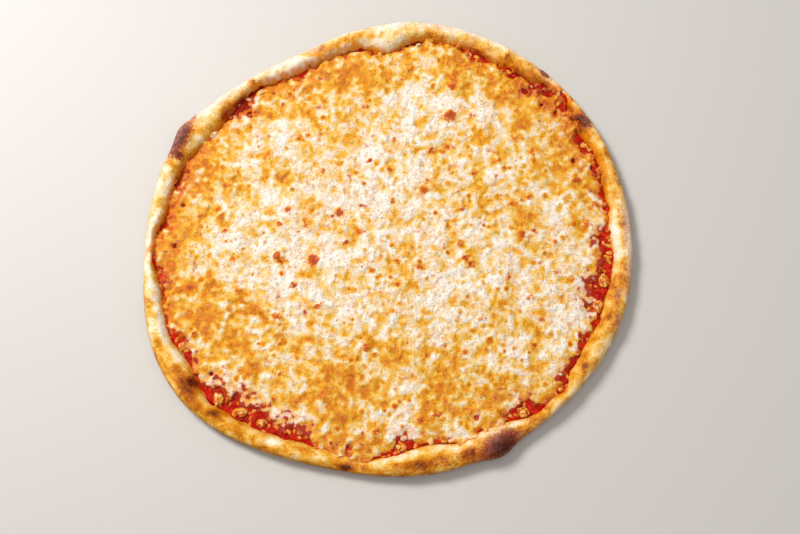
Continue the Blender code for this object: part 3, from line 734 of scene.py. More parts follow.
cheese = {
    "pitch": 1.15,
    "thickness": 3.1,
    "swells": [(34.0, 1.5), (15.0, 1.1)],
    "rounding": {"out": 3.4, "onSlope": 1.5, "whereOpen": 2.6},  # how wide the edge is rounded
    "reliefMiddle": 0.9, "reliefShare": 0.95,
    "undersideRows": [(8.1, 16, 900), (2.9, 1.6, 16)],  # (spacing, from and to this far inside the edge)
    "hollowTones": [(0, 2.4, 0.14), (0.9, 4.5, 0.36)],  # warmer between lumps where oil gathers, and partly painted light and shade, paler lump tops and darker hollows: (near, wide, weight)
    "spills": [(259, 3.5, 8), (251, 2, 4), (183, 3.5, 3), (168, 2, 3), (42, 2.5, 2), (120, 2, 2)],
    "windows": [  # (x, y, reach, depth)
        (129, 143, 5.5, 7), (139, 132, 5, 7), (152, 121, 5, 7), (120, 135, 4, 6), (114, 152, 4, 5),
        (146, 114, 3, 5), (134, 122, 3, 5), (167, 90, 4, 6.5), (170, 80, 3.5, 6), (178, 64, 3.5, 6),
        (184, 44, 3, 5), (160, 70, 2.5, 4.5), (-122, 114, 3.2, 6), (-130, 119, 3.5, 5),
        (-160, 92, 3, 5), (-176, 30, 3, 5), (-182, -6, 3, 5), (-176, 60, 3, 4), (-52, 178, 3.5, 5),
        (-39, 170, 3, 4), (-78, 152, 3.5, 4.5), (162, -115, 4.5, 6), (114, -140, 4, 5),
        (72, -152, 4, 4.5), (10, -172, 4, 5), (-31, -176, 4, 5), (-138, -131, 3.5, 4.2),
        (-124, -136, 3, 5), (-146, -116, 3, 5), (-108, -146, 2.5, 4.5), (172, -40, 3, 5),
        (167, -60, 2.5, 4.5)],
    "bareSauce": [
        (0, 4, 9), (10, 3, 6), (20, 5, 4), (28, 3, 5), (40, 1.5, 4), (47, 1.5, 5), (54, 3, 3),
        (65, 4, 5), (83, 3, 3), (97, 4, 3), (118, 9, 2.5), (136, 5, 8), (165, 3, 5), (176, 3, 3),
        (188, 6, 6), (208, 4, 9), (228, 9, 14), (237, 4, 6), (246, 6, 9), (260, 3, 4), (274, 4, 9),
        (284, 3, 4), (307, 4.5, 12), (321, 5, 6), (331, 4, 4.5), (347, 8, 14)],
    "broadShreds": {"count": 1300, "width": (4.0, 6.5), "length": (6, 16), "height": (0.5, 1.4)},
    "fineShreds": {"count": 6500, "width": (2.4, 4.2), "length": (1, 12), "height": (0.4, 1.3)},
    "bubbles": {"count": 800, "reach": (1.3, 3.0), "height": (0.3, 0.8)},
    "blisters": [  # (x, y, reach, height, how toasted)
        (53.5, 110.7, 7.0, 2.4, 0.75), (-63.8, -19.1, 6.5, 2.0, 0.85), (36.7, 79.3, 4.5, 1.5, 0.7),
        (27, -154, 6, 1.8, 0.6), (-9.7, -163.7, 5, 1.5, 0.55), (-94.3, -15.7, 5, 1.4, 0.8),
        (-42.3, 23.2, 5, 1.4, 0.8), (30.4, 42.9, 4.5, 1.3, 0.75), (113.6, 3.7, 4.5, 1.4, 0.7),
        (60.8, -4.3, 4, 1.3, 0.6), (-166.8, -42.6, 5, 1.2, 0.7), (105.8, 31.2, 4.5, 1.3, 0.55),
        (-18.4, -93.6, 4.5, 1.4, 0.8), (121, -92.8, 5, 1.6, 0.6), (-143.1, 18.8, 4.5, 1.5, 0.5),
        (88.2, 6.3, 4, 1.6, 0.1), (158.2, 12.5, 4, 1.4, 0.5), (-126.3, -45.2, 5, 1.3, 0.5),
        (-114, -115.4, 5, 1.5, 0.4), (78, -133.5, 4.5, 1.3, 0.5)],
    "spots": [  # flat toasted or oily places: (x, y, reach, how toasted)
        (52.4, 83.9, 6, 0.5), (-36.1, -3.4, 3.5, 0.9), (8.1, -40, 3.5, 0.75), (56.5, 138.9, 6, 0.6),
        (-76.3, -140.1, 4, 0.6), (162.2, 51, 5, 0.7), (72, 112, 5, 0.5), (0, 62, 4, 0.55),
        (3, 33, 4, 0.5), (-17, 70, 3, 0.8), (-57, 60, 3.5, 0.6), (-25, 6, 4, 0.6), (138, 124, 5, 0.7),
        (146, 112, 5, 0.6), (156, 104, 5, 0.6), (122, 146, 4, 0.6), (65, -17, 3.5, 0.85),
        (70, -22, 4, 0.8), (7, -20, 3.5, 0.6), (26, -25, 4, 0.55), (63, 26, 3.5, 0.6), (73, 58, 3, 0.7),
        (-146, 26, 4, 0.5), (-141, 7, 4, 0.5), (-87, 25, 4, 0.6), (-93, 13, 4, 0.6), (-71, 12, 4, 0.5),
        (-91, -19, 4, 0.8), (-79, -41, 4, 0.75), (-93, -68, 4, 0.7), (-111, -61, 4.5, 0.65),
        (-131, -18, 4, 0.5), (-59, -59, 4, 0.6), (120, 37, 4, 0.55), (124, 7, 3, 0.85),
        (170, 13, 6, 0.45), (155, -36, 5, 0.45), (141, -30, 4, 0.4), (119, -51, 4, 0.5),
        (128, -70, 5, 0.5), (64, -98, 4, 0.5), (31, -100, 4, 0.55), (82, -96, 4, 0.5),
        (40, -150, 5, 0.55), (42, -130, 4, 0.5), (-53, -133, 4, 0.5), (-90, -116, 5, 0.4),
        (-117, 112, 3.5, 0.6), (104, 128, 4, 0.5), (110, 90, 5, 0.45), (125, 80, 4, 0.5),
        (95, 70, 4, 0.45), (-130, 60, 4, 0.4), (-105, 75, 5, 0.4), (-60, 95, 5, 0.4),
        (-20, 120, 5, 0.45), (10, 145, 5, 0.45)],
    "paleAndSheenPatches": [  # where more cheese lay, and partly painted sheen of light on the oily cheese: (x, y, reach, how much paler)
        (35, 118, 26, 0.26), (28, 80, 24, 0.10), (-122, 92, 22, 0.20), (-82, -2, 40, 0.20),
        (-20, 58, 36, 0.14), (55, -44, 24, 0.16), (150, -58, 22, 0.20), (14, 10, 24, 0.12),
        (95, -75, 22, 0.06), (-30, -40, 24, 0.12), (160, -10, 20, 0.06), (95, 108, 20, 0.04),
        (-95, -158, 14, 0.12), (36, 40, 20, 0.12), (-128, 8, 24, 0.16), (34, 10, 18, 0.10),
        (178, 18, 12, 0.12), (-132, -22, 18, 0.12), (105, -16, 26, 0.16), (-62, -48, 20, 0.13),
        (-88, -76, 20, 0.10), (20, -76, 26, 0.12), (62, -72, 16, 0.08), (-30, -104, 16, 0.10),
        (32, -106, 14, 0.08), (96, -106, 20, 0.16), (4, -166, 14, 0.12), (60, -163, 12, 0.10),
        (-62, 134, 18, 0.10), (2, 136, 14, 0.07), (0, 16, 16, 0.10), (-30, 16, 14, 0.10),
        (178, 16, 12, 0.14), (60, -14, 14, 0.10), (-60, -44, 14, 0.10), (92, -106, 14, 0.14),
        (-30, -106, 14, 0.10), (0, -166, 14, 0.14), (-120, -134, 14, 0.18), (-150, -14, 16, 0.14),
        (60, -76, 14, 0.12), (56, -164, 14, 0.14), (180, 14, 12, 0.12), (0, 134, 14, 0.08),
        (60, 104, 14, 0.12), (-118, 8, 16, 0.08), (152, -76, 14, 0.10), (-60, -164, 12, 0.08)],
    "warmPatches": [  # where oil and colour gathered
        (-165, 25, 24, 0.20), (-172, -45, 26, 0.22), (-80, 140, 40, 0.20), (-20, 160, 30, 0.18),
        (45, 165, 26, 0.20), (165, 70, 24, 0.18), (-40, -118, 44, 0.16), (60, -130, 40, 0.14),
        (115, -125, 24, 0.10), (118, 18, 16, 0.12), (-120, -95, 28, 0.22), (50, 8, 12, 0.06),
        (-115, -50, 18, 0.10), (20, -75, 16, 0.06), (-150, 60, 18, 0.16), (114, 128, 20, 0.18),
        (140, 122, 16, 0.26), (32, 98, 14, 0.12), (90, 76, 14, 0.08), (-182, -14, 14, 0.20),
        (2, -14, 14, 0.08), (182, -18, 10, 0.14), (-154, -76, 16, 0.16), (96, -72, 16, 0.12),
        (2, -108, 14, 0.12), (62, -104, 12, 0.08), (-42, -136, 22, 0.10), (120, 100, 16, 0.12),
        (62, 162, 20, 0.22), (-32, 162, 18, 0.12), (-118, 132, 18, 0.14), (88, 134, 18, 0.12),
        (118, 134, 16, 0.10), (32, 108, 12, 0.10), (-150, 74, 18, 0.14), (150, 74, 18, 0.12),
        (90, 44, 16, 0.14), (-148, 44, 18, 0.12), (-120, 46, 16, 0.12), (-180, 0, 18, 0.18),
        (182, -18, 12, 0.22), (-150, -50, 20, 0.14), (60, -46, 12, 0.10), (-150, -78, 16, 0.12),
        (120, -76, 14, 0.10), (0, -106, 18, 0.16), (60, -106, 16, 0.14), (-45, -134, 22, 0.12),
        (60, -136, 16, 0.12), (-60, -164, 16, 0.12), (180, -18, 10, 0.22), (-180, -14, 12, 0.12),
        (2, -16, 12, 0.12), (-150, -78, 14, 0.08), (-36, -134, 16, 0.10)],
    "rosyPatches": [  # where sauce stained the cheese: (x, y, reach, how much)
        (-142, -122, 12, 0.55), (-121, -138, 14, 0.5), (-162, -112, 9, 0.45), (-104, -152, 10, 0.4),
        (-64, 18, 22, 0.4), (-24, 34, 16, 0.35), (178, 0, 10, 0.5), (172, -50, 10, 0.5),
        (-70, -60, 16, 0.35), (152, 110, 14, 0.5), (124, 138, 12, 0.5), (20, -165, 12, 0.3),
        (-10, -20, 14, 0.3), (-110, -60, 14, 0.3), (150, 84, 12, 0.35), (162, 64, 10, 0.4),
        (138, 108, 12, 0.35), (-168, 52, 10, 0.5), (-172, -20, 10, 0.5), (114, -128, 12, 0.5),
        (60, -150, 10, 0.4), (-40, -168, 12, 0.5), (100, 120, 12, 0.3), (30, 40, 14, 0.25)],
    # near the rim, by place in degrees: (place, reach, how much warmer, redder or more toasted)
    "edgeWarmth": [
        (20, 14, 0.22), (46, 16, 0.3), (68, 10, 0.25), (92, 8, 0.1), (120, 12, 0.15), (140, 10, 0.15),
        (160, 12, 0.4), (180, 12, 0.3), (196, 8, 0.2), (262, 8, 0.15), (290, 6, 0.15)],
    "edgeStain": [
        (24, 10, 0.25), (44, 12, 0.15), (64, 6, 0.2), (118, 8, 0.2), (142, 8, 0.4), (163, 8, 0.4),
        (178, 9, 0.5), (196, 6, 0.3), (228, 12, 0.3), (244, 8, 0.4), (345, 10, 0.4)],
    "edgeToast": [
        (22, 12, 0.28), (44, 12, 0.3), (62, 8, 0.25), (80, 6, 0.2), (100, 8, 0.2), (122, 12, 0.4),
        (142, 8, 0.4), (162, 10, 0.6), (180, 10, 0.6), (198, 8, 0.4), (217, 6, 0.2), (340, 12, 0.2)],
    "skin": {"Wrinkle Size": 0.0045, "Wrinkle Height": 0.0007, "Grain Size": 0.0022, "Grain Height": 0.0005,
             "Pore Size": 0.006, "Pore Depth": 0.0012, "Seed": 9},
    "seed": 5,
}


cheeseColours = {
    "tones": [
        (0.05, (251, 246, 237)), (0.18, (249, 234, 211)), (0.33, (247, 222, 179)), (0.49, (245, 210, 140)),
        (0.63, (243, 196, 92)), (0.78, (238, 176, 32)), (0.90, (230, 150, 0)), (1.0, (210, 112, 0))],
    "toasted": [(0.2, (236, 156, 16)), (0.42, (220, 108, 8)), (0.62, (198, 80, 12)), (0.9, (160, 54, 12))],
    "threads": (230, 150, 14),
    "stained": (228, 138, 78),
    "sauceThrough": (172, 16, 0),
    "dabs": (206, 108, 40),
    "pits": (176, 96, 34),
    "shade": (214, 194, 158),
}


def cheeseFinish():
    material, tree, shader = newMaterial("meltedCheese")
    warm, toast, blush = [fieldOf(tree, name) for name in ("warm", "toast", "blush")]
    mottle, fine, speck = texture(tree, 2.8, 2, 0.5), texture(tree, 1.3, 2), texture(tree, 0.7, 1)
    broad, strings = texture(tree, 16, 2), texture(tree, 5.0, 3, 0.55, 0.7)
    dabs = texture(tree, 3.0, 2, 0.6, 0.5)
    tone = varied(tree, varied(tree, warm, mottle, 0.35), fine, 0.08)
    colour = toneRamp(tree, tone, cheeseColours["tones"])
    thread = maths(tree, "ABSOLUTE", maths(tree, "SUBTRACT", strings, 0.5))
    thread = rangeOf(tree, thread, 0.0, 0.04, 1.0, 0.0)
    thread = times(tree, thread, rangeOf(tree, broad, 0.4, 0.6, 0.15, 0.75))
    colour = painted(tree, thread, colour, cheeseColours["threads"])
    stain = varied(tree, blush, fine, 1.2)
    colour = painted(tree, rangeOf(tree, stain, 0.1, 1.1, 0.0, 0.7), colour, cheeseColours["stained"])
    through = rangeOf(tree, stain, 0.85, 1.1, 0.0, 0.94)
    colour = painted(tree, through, colour, cheeseColours["sauceThrough"])
    dab = times(tree, rangeOf(tree, dabs, 0.61, 0.72), rangeOf(tree, broad, 0.36, 0.6, 1.0, 0.25))
    colour = painted(tree, times(tree, dab, 0.6), colour, cheeseColours["dabs"])
    broken = maths(tree, "ADD", times(tree, mottle, 0.9), times(tree, fine, 0.5))
    heat = times(tree, toast, rangeOf(tree, broken, 0.45, 0.85, 0.35, 1.25))
    toasted = toneRamp(tree, heat, cheeseColours["toasted"])
    colour = mixColour(tree, rangeOf(tree, heat, 0.14, 0.42), colour, toasted)
    place = add(tree, "ShaderNodeTexCoord").outputs["Object"]
    pit = add(tree, "ShaderNodeTexVoronoi", {"Vector": place, "Scale": 1 / (5.5 * mm)}).outputs["Distance"]
    colour = painted(tree, rangeOf(tree, pit, 0.06, 0.14, 0.6, 0.0), colour, cheeseColours["pits"])
    # painted shade in the hollows of the fine bump relief
    shaded = rangeOf(tree, fine, 0.3, 0.47, 1.0, 0.0)
    shade = painted(tree, shaded, (1, 1, 1, 1), cheeseColours["shade"])
    colour = mixColour(tree, 1.0, colour, shade, "MULTIPLY")
    # painted shade in the tiny hollows of the speck bump
    colour = mixColour(tree, 1.0, colour, rangeOf(tree, speck, 0.3, 0.55, 0.83, 1.0), "MULTIPLY")
    relief = maths(tree, "ADD", times(tree, mottle, 0.7), fine)
    relief = maths(tree, "ADD", relief, times(tree, speck, 0.45))
    feed(tree, shader, {
        "Base Color": colour, "Roughness": rangeOf(tree, tone, 0.2, 0.9, 0.32, 0.22),
        "Normal": bumpOf(tree, relief, 1.0, 1.1), "Specular IOR Level": 0.34, "Subsurface Weight": 0.25,
        "Subsurface Radius": (0.003, 0.002, 0.001)})
    return material


def blurred(field, reach):
    # soft blur of a square field of heights, by its frequencies
    rate = np.fft.fftfreq(len(field))
    keep = np.exp(-2 * (np.pi * reach) ** 2 * rate ** 2)
    return np.fft.ifft2(np.fft.fft2(field) * keep[:, None] * keep[None, :]).real


def nearCells(axis, atX, atY, reach):  # the part of the grid round a place, and its offsets from there
    rows = slice(*np.searchsorted(axis, (atY - reach, atY + reach)))
    columns = slice(*np.searchsorted(axis, (atX - reach, atX + reach)))
    return (rows, columns), axis[None, columns] - atX, axis[rows, None] - atY


def stampShreds(axis, shreds, draw):
    # melted shreds: short bent capsules that each lift the field to their own round height
    field = np.zeros((len(axis), len(axis)))
    for _ in range(shreds["count"]):
        atX, atY = draw.uniform(axis[0], axis[-1], 2)
        turn, bend = draw.uniform(0, np.pi), draw.normal(0, 0.018)
        width, length, height = [draw.uniform(*shreds[key]) for key in ("width", "length", "height")]
        cells, x, y = nearCells(axis, atX, atY, length / 2 + width)
        along = x * np.cos(turn) + y * np.sin(turn)
        across = y * np.cos(turn) - x * np.sin(turn) - bend * along ** 2
        past = np.maximum(np.abs(along) - length / 2, 0)
        away = (past ** 2 + across ** 2) / (width / 2) ** 2
        field[cells] = np.maximum(field[cells], height * np.sqrt(np.clip(1 - away, 0, 1)))
    return field


def evened(values, inside):
    # the same field with its values spread evenly from 0 to 1 over the cheese
    order = np.sort(values[inside].ravel())
    return np.searchsorted(order, values) / len(order)


def swellOf(x, y):
    total = np.zeros_like(x)
    for spacing, height in cheese["swells"]:
        rise = [noise.noise(Vector((u, v, spacing)) / spacing) for u, v in zip(x.ravel(), y.ravel())]
        total += height * np.array(rise).reshape(x.shape)
    return total


def coverOf(x, y):
    # millimetres inside the edge of the cheese, and how far the sauce is open there
    seed = cheese["seed"]
    angle, radius = toPolar(x, y)
    bare = softBumps(angle, cheese["bareSauce"])
    edge = outlineRadius(angle) - shownWidth(angle) - bare + softBumps(angle, cheese["spills"])
    gaping = np.clip(bare / 7, 0, 1)  # where sauce shows, the edge breaks up into lumps
    ragged = smoothNoise(x, y, 9, seed + 1) * (1.8 + 3.0 * gaping)
    ragged = ragged + smoothNoise(x, y, 4.2, seed + 2) * (1.2 + 1.5 * gaping)
    cover = edge - radius + ragged + 0.8 + 0.8 * gaping
    stretch = 1 + 0.5 * smoothNoise(x, y, 5, seed + 18)
    for atX, atY, reach, depth in cheese["windows"]:
        away = np.hypot(x - atX, y - atY) * stretch
        window = np.exp(-(away / reach) ** 2)
        cover = np.minimum(cover, cover * (1 - window) + (3 - depth) * window)
        gaping = np.maximum(gaping, 0.9 * np.exp(-(away / (reach * 1.7)) ** 2))
    return cover, gaping


def addBubbles(axis, relief, warm, toast, draw):
    # small bubbles, each an oily disc with a paler ring
    bubbles = cheese["bubbles"]
    for _ in range(bubbles["count"]):
        atX, atY = draw.uniform(-195, 195, 2)
        reach, height = draw.uniform(*bubbles["reach"]), draw.uniform(*bubbles["height"])
        strength = draw.uniform(0.1, 1.0)
        cells, fromX, fromY = nearCells(axis, atX, atY, 2.4 * reach)
        away = np.hypot(fromX, fromY) / reach
        relief[cells] += height * (np.exp(-away ** 2 * 1.4) - 0.5 * np.exp(-((away - 1.5) / 0.4) ** 2))
        warm[cells] += 0.8 * strength * (np.exp(-away ** 4) - 0.4 * np.exp(-((away - 1.5) / 0.35) ** 2))
        toast[cells] = np.maximum(toast[cells], (strength - 0.5) * 1.4 * np.exp(-away ** 2 * 1.5))


def addBlisters(x, y, relief, warm, toast):
    # the larger toasted blisters, and the flat toasted or oily places
    seed = cheese["seed"]
    for atX, atY, reach, height, strength in cheese["blisters"]:
        away = np.hypot(x - atX, y - atY) * (1 + 0.25 * smoothNoise(x, y, 4, seed + 11))
        relief += height * np.exp(-(away / reach) ** 2 * 2)
        relief += 0.5 * strength * np.abs(smoothNoise(x, y, 2.6, seed + 12)) * np.exp(-(away / reach) ** 2)
        np.maximum(toast, strength * np.exp(-(away / (reach * 0.8)) ** 2), out=toast)
        warm += 0.5 * np.exp(-(away / (reach * 1.4)) ** 2)
    for atX, atY, reach, strength in cheese["spots"]:
        away = np.hypot(x - atX, (y - atY) * 1.2) * (1 + 0.6 * smoothNoise(x, y, 3.4, seed + 13))
        np.maximum(toast, strength * np.exp(-(away / (reach * 0.85)) ** 2), out=toast)
        warm += 0.35 * np.exp(-(away / (reach * 1.3)) ** 2)
        relief += 0.5 * np.exp(-(away / reach) ** 2)


def creasesOf(x, y):  # winding folds in the cheese, strong in some places and absent in others
    seed = cheese["seed"]
    bentX = x + smoothNoise(x, y, 9, seed + 14) * 5
    bentY = y + smoothNoise(x, y, 9, seed + 15) * 5
    crease = np.clip(1 - np.abs(smoothNoise(bentX, bentY, 11, seed + 16)) / 0.13, 0, 1)
    return crease * np.clip(0.5 + smoothNoise(x, y, 15, seed + 17) * 1.6, 0, 1)


def cheeseFields():
    # heights and colours of the cheese on a square grid
    pitch, seed = cheese["pitch"], cheese["seed"]
    draw = np.random.default_rng(seed)
    half = int(222 / pitch)
    axis = np.arange(-half, half + 1) * pitch
    x, y = np.meshgrid(axis, axis)
    cover, gaping = coverOf(x, y)
    broad = stampShreds(axis, cheese["broadShreds"], draw)
    fine = stampShreds(axis, cheese["fineShreds"], draw)
    # at the edge, whole lumps stand out or fall back
    cover = cover + (2.6 - 1.2 * gaping) * (blurred(fine, 0.5) - 0.75)
    inside, inward = cover > 0, np.clip(cover, 0, None)
    crease, band = creasesOf(x, y), np.exp(-(inward / 15) ** 2)
    relief = blurred(np.maximum(broad, fine) * 0.7 + broad * 0.3, 0.6)
    relief += layered(x, y, seed, [(5.5, 3, 0.35), (2.6, 4, 0.2)])
    relief -= 0.45 * crease
    relief += band * layered(x, y, seed, [(7, 22, 0.9), (4, 23, 0.6)])
    warm = layered(x, y, seed, [(12, 5, 1.1), (5.5, 6, 0.7)])
    warm += smoothNoise(x, y, 26, seed + 7) * 1.1 + 0.6 * crease
    # paler lump tops and warmer hollows: oil in the hollows, partly painted highlight and painted shade
    for near, wide, weight in cheese["hollowTones"]:
        hollow = blurred(relief, wide) - blurred(relief, near)
        warm += weight * hollow / hollow[inside].std()
    warm *= 0.46
    # warmer where oil gathered; paler where more cheese lay, partly painted sheen
    warm += 2 * (patchSum(x, y, cheese["warmPatches"]) - patchSum(x, y, cheese["paleAndSheenPatches"]))
    warm += np.exp(-inward / 6) * (0.6 - 0.45 * gaping)
    angle = toPolar(x, y)[0]
    warm += band * softBumps(angle, cheese["edgeWarmth"]) * (1 + smoothNoise(x, y, 8, seed + 24))
    warm += band * smoothNoise(x, y, 6, seed + 25) * 0.35
    blush = layered(x, y, seed, [(4.5, 8, 1.2), (14, 9, 0.8)]) - 0.4
    blush = np.clip(blush + np.exp(-inward / 9) * 1.5 * gaping, 0, 1)
    blush += np.exp(-inward / 1.6) * (0.9 + 0.5 * smoothNoise(x, y, 6, seed + 20))
    blush += patchSum(x, y, cheese["rosyPatches"]) * (0.6 + smoothNoise(x, y, 5, seed + 19))
    patchy = np.clip(0.5 + smoothNoise(x, y, 7, seed + 21) * 0.9, 0, 1)
    blush += band * softBumps(angle, cheese["edgeStain"]) * (0.35 + patchy)
    toast = band * softBumps(angle, cheese["edgeToast"]) * patchy
    toast += 0.4 * np.exp(-inward / 1.2) * (0.4 + 0.9 * patchy)
    addBubbles(axis, relief, warm, toast, draw)
    addBlisters(x, y, relief, warm, toast)
    return axis, x, y, cover, gaping, relief, {"warm": evened(warm, inside), "toast": toast, "blush": blush}


def keptCells(mask):
    # whole cells of the grid that hold cheese, with corners that only touch filled in
    cells = mask[:-1, :-1] & mask[1:, :-1] & mask[:-1, 1:] & mask[1:, 1:]
    for _ in range(6):
        a, b, c, d = cells[:-1, :-1], cells[1:, :-1], cells[:-1, 1:], cells[1:, 1:]
        touch = (a & d & ~b & ~c) | (b & c & ~a & ~d)
        if not touch.any():
            break
        for part in (a, b, c, d):
            part |= touch
    return cells


def makeCheese():
    axis, x, y, cover, gaping, relief, fields = cheeseFields()
    support, inward = sauceTop(x, y), np.clip(cover, 0, None)
    onSlope = np.clip((support - sauce["top"]) / 8, 0, 1)
    full = cheese["thickness"] * (1 - 0.6 * onSlope)
    rounding = cheese["rounding"]
    taper = rounding["out"] + rounding["onSlope"] * onSlope + rounding["whereOpen"] * gaping
    rounded = np.where(cover > 0, (1 - np.exp(-inward / taper)) ** 0.75, 0)
    near = cover > -2.5
    swell = np.zeros_like(x)
    swell[near] = swellOf(x[near], y[near])
    fromEdge = 1 - np.exp(-inward / 9)
    lift = swell * fromEdge + (relief - cheese["reliefMiddle"]) * cheese["reliefShare"]
    z = support + full * rounded + lift * rounded
    z = np.where(cover > 0, z, support + 0.9 * np.clip(cover, -2, 0))
    cells = keptCells(cover > -1.3)
    rows, columns = np.nonzero(cells)
    corner = rows * len(axis) + columns
    quads = np.stack([corner, corner + 1, corner + len(axis) + 1, corner + len(axis)], -1)
    used, quads = np.unique(quads, return_inverse=True)
    points = np.stack([x.ravel()[used], y.ravel()[used], z.ravel()[used]], -1)
    fields.update({"relief": np.clip(cover, 0, 1), "fringe": np.exp(-((cover - 0.6) / 1.6) ** 2),
                   "middle": np.clip(cover / 4, 0, 1)})
    fields = {label: values.ravel()[used] for label, values in fields.items()}
    points, faces, fields = closeUnder(points, quads.reshape(-1, 4), fields, axis, cover, cells)
    return makePiece("cheese", points, faces, fields)


def closeUnder(points, quads, fields, axis, cover, cells):
    # joins the edges of the sheet below with a coarse underside, so that it is one closed body
    pitch = axis[1] - axis[0]
    sides = np.concatenate([quads[:, [0, 1]], quads[:, [1, 2]], quads[:, [2, 3]], quads[:, [3, 0]]])
    _, first, uses = np.unique(np.sort(sides, 1), axis=0, return_index=True, return_counts=True)
    edges = sides[first[uses == 1]]
    rim = np.unique(edges)
    found = [points[rim][:, :2]]
    for spacing, least, most in cheese["undersideRows"]:  # finer points near the edge
        grid = np.arange(-215, 215, spacing)
        spots = np.stack(np.meshgrid(grid + 0.37, grid + 0.19), -1).reshape(-1, 2)
        column, row = np.round((spots - axis[0]) / pitch).astype(int).T
        found.append(spots[(cover[row, column] > least) & (cover[row, column] <= most)])
    flat = np.concatenate(found)
    extra = flat[len(rim):]
    links = np.searchsorted(rim, edges)
    places = [Vector(spot) for spot in flat]
    _, _, triangles, sources, _, _ = delaunay_2d_cdt(places, links.tolist(), [], 2, 1e-5)
    under = np.array([[sources[index][0] for index in triangle] for triangle in triangles])
    column, row = np.floor((flat[under].mean(1) - axis[0]) / pitch).astype(int).T
    under = under[cells[row, column]]  # the openings of the sheet stay open below as well
    walls = np.column_stack([edges[:, ::-1], len(points) + links])
    faces = quads.tolist() + walls.tolist() + (len(points) + under[:, ::-1]).tolist()
    low = sauceTop(extra[:, 0], extra[:, 1]) - 0.8
    points = np.concatenate([points, points[rim] - [0, 0, 0.1], np.column_stack([extra, low])])
    for label, values in fields.items():
        hidden = np.full(len(extra), 0.0 if label in ("relief", "fringe", "middle") else 0.5)
        fields[label] = np.concatenate([values, values[rim], hidden])
    used = np.unique(np.concatenate([np.ravel(face) for face in faces]))
    faces = [np.searchsorted(used, face).tolist() for face in faces]
    return points[used], faces, {label: values[used] for label, values in fields.items()}


# Curds that lie on the bare sauce

curdShape = {
    "roundness": 5, "size": 1.2, "knobSpacing": 1.9, "knobHeight": 0.24, "unevenness": 0.4,
    "grain": 0.12, "sink": 0.6, "flatBase": -0.9, "flatness": 0.75,
}


def makeCurds():
    made = bmesh.new()
    knobs = []
    for number in range(1, 9):
        low, high = [np.array(corner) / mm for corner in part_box(f"curd_{number}")]
        centre, half = (low + high) / 2, (high - low) / 2
        shape = bmesh.new()
        bmesh.ops.create_icosphere(shape, subdivisions=curdShape["roundness"], radius=1)
        for vertex in shape.verts:
            way = vertex.co.normalized()
            near = noise.voronoi(way * curdShape["knobSpacing"] + Vector((number, 0, 0)))[0]
            knob = 1 - min(1.0, near[0] * 1.5) ** 2
            knobs.append(knob)
            broad = curdShape["unevenness"] * noise.noise(way * 1.5 + Vector((number, 0, 0)))
            lump = curdShape["size"] + broad + curdShape["knobHeight"] * knob
            lump += curdShape["grain"] * noise.noise(way * 6 + Vector((0, number, 0)))
            up = max(way.z * lump, curdShape["flatBase"]) * half[2] * curdShape["flatness"]
            vertex.co = Vector((
                (centre[0] + way.x * half[0] * lump) * mm,
                (centre[1] + way.y * half[1] * lump) * mm,
                (centre[2] - curdShape["sink"] + up) * mm))
        mesh = bpy.data.meshes.new("curd")
        shape.to_mesh(mesh)
        shape.free()
        made.from_mesh(mesh)
        bpy.data.meshes.remove(mesh)
    mesh = bpy.data.meshes.new("looseCurds")
    made.to_mesh(mesh)
    made.free()
    x, y, z = [np.array([vertex.co[axis] / mm for vertex in mesh.vertices]) for axis in range(3)]
    knob = np.array(knobs)
    # paler on the knob tops and browner between them, painted light and painted shade; warmer lower down and
    # pinker between the knobs, stained by sauce
    warm = np.clip(0.95 - 0.4 * knob + smoothNoise(x, y, 3, 77) * 0.4 - (z - 7) * 0.1, 0, 1)
    toast = np.clip(0.46 - 0.34 * knob + smoothNoise(x, y, 3.5, 78) * 0.5, 0, 0.6)
    blush = 0.45 - 0.3 * knob + smoothNoise(x, y, 3, 79) * 0.5
    for label, values in {"warm": warm, "toast": toast, "blush": blush}.items():
        setField(mesh, label, values)
    mesh.shade_smooth()
    return addObject("looseCurds", mesh)


# Scattered bits

def bits(on, where, finish, *sizes):
    labels = ("Count per Area", "Least Size", "Most Size", "Length", "Flatness", "Sink", "Roundness", "Seed")
    return {"on": on, "where": where, "finish": finish, "sizes": dict(zip(labels, sizes))}


scattered = {
    # name: carrier, its field that says where, finish, number per square metre, least and most size,
    # length, flatness, sink, roundness, seed
    "edgeLumps": bits("cheese", "fringe", "cheese", 20000.0, 0.0010, 0.0028, 1.5, 0.5, 0.3, 2, 4),
    "sauceLumps": bits("sauce", "scatter", "cheese", 30000.0, 0.0006, 0.0018, 1.9, 0.35, 0.12, 2, 6),
    "flecks": bits("cheese", "middle", "herb", 2600.0, 0.0002, 0.0005, 1.6, 0.5, 0.0, 1, 12),
    "flourGrains": bits("crust", "scatter", "flour", 260000.0, 0.00012, 0.0003, 1.2, 0.8, 0.0, 1, 15),
}


def plainFinish(name, colour, roughness):
    material, tree, shader = newMaterial(name)
    darker = tuple(part * 0.7 for part in colour[:3]) + (1,)
    tone = ramp(tree, texture(tree, 3, 2), [(0.35, darker), (0.65, colour)])
    feed(tree, shader, {"Base Color": tone, "Roughness": roughness, "Specular IOR Level": 0.3})
    return material


def scatterOn(carrier, name, where, tree, sizes):
    # the bits alone, spread over a copy of the carrier's surface
    made = addObject(name, carrier.data.copy())
    values = np.empty(len(made.data.vertices), np.float32)
    made.data.attributes[where].data.foreach_get("value", values)
    setField(made.data, "scatter", values)
    return applyTree(made, tree, sizes)


# Light, floor and camera

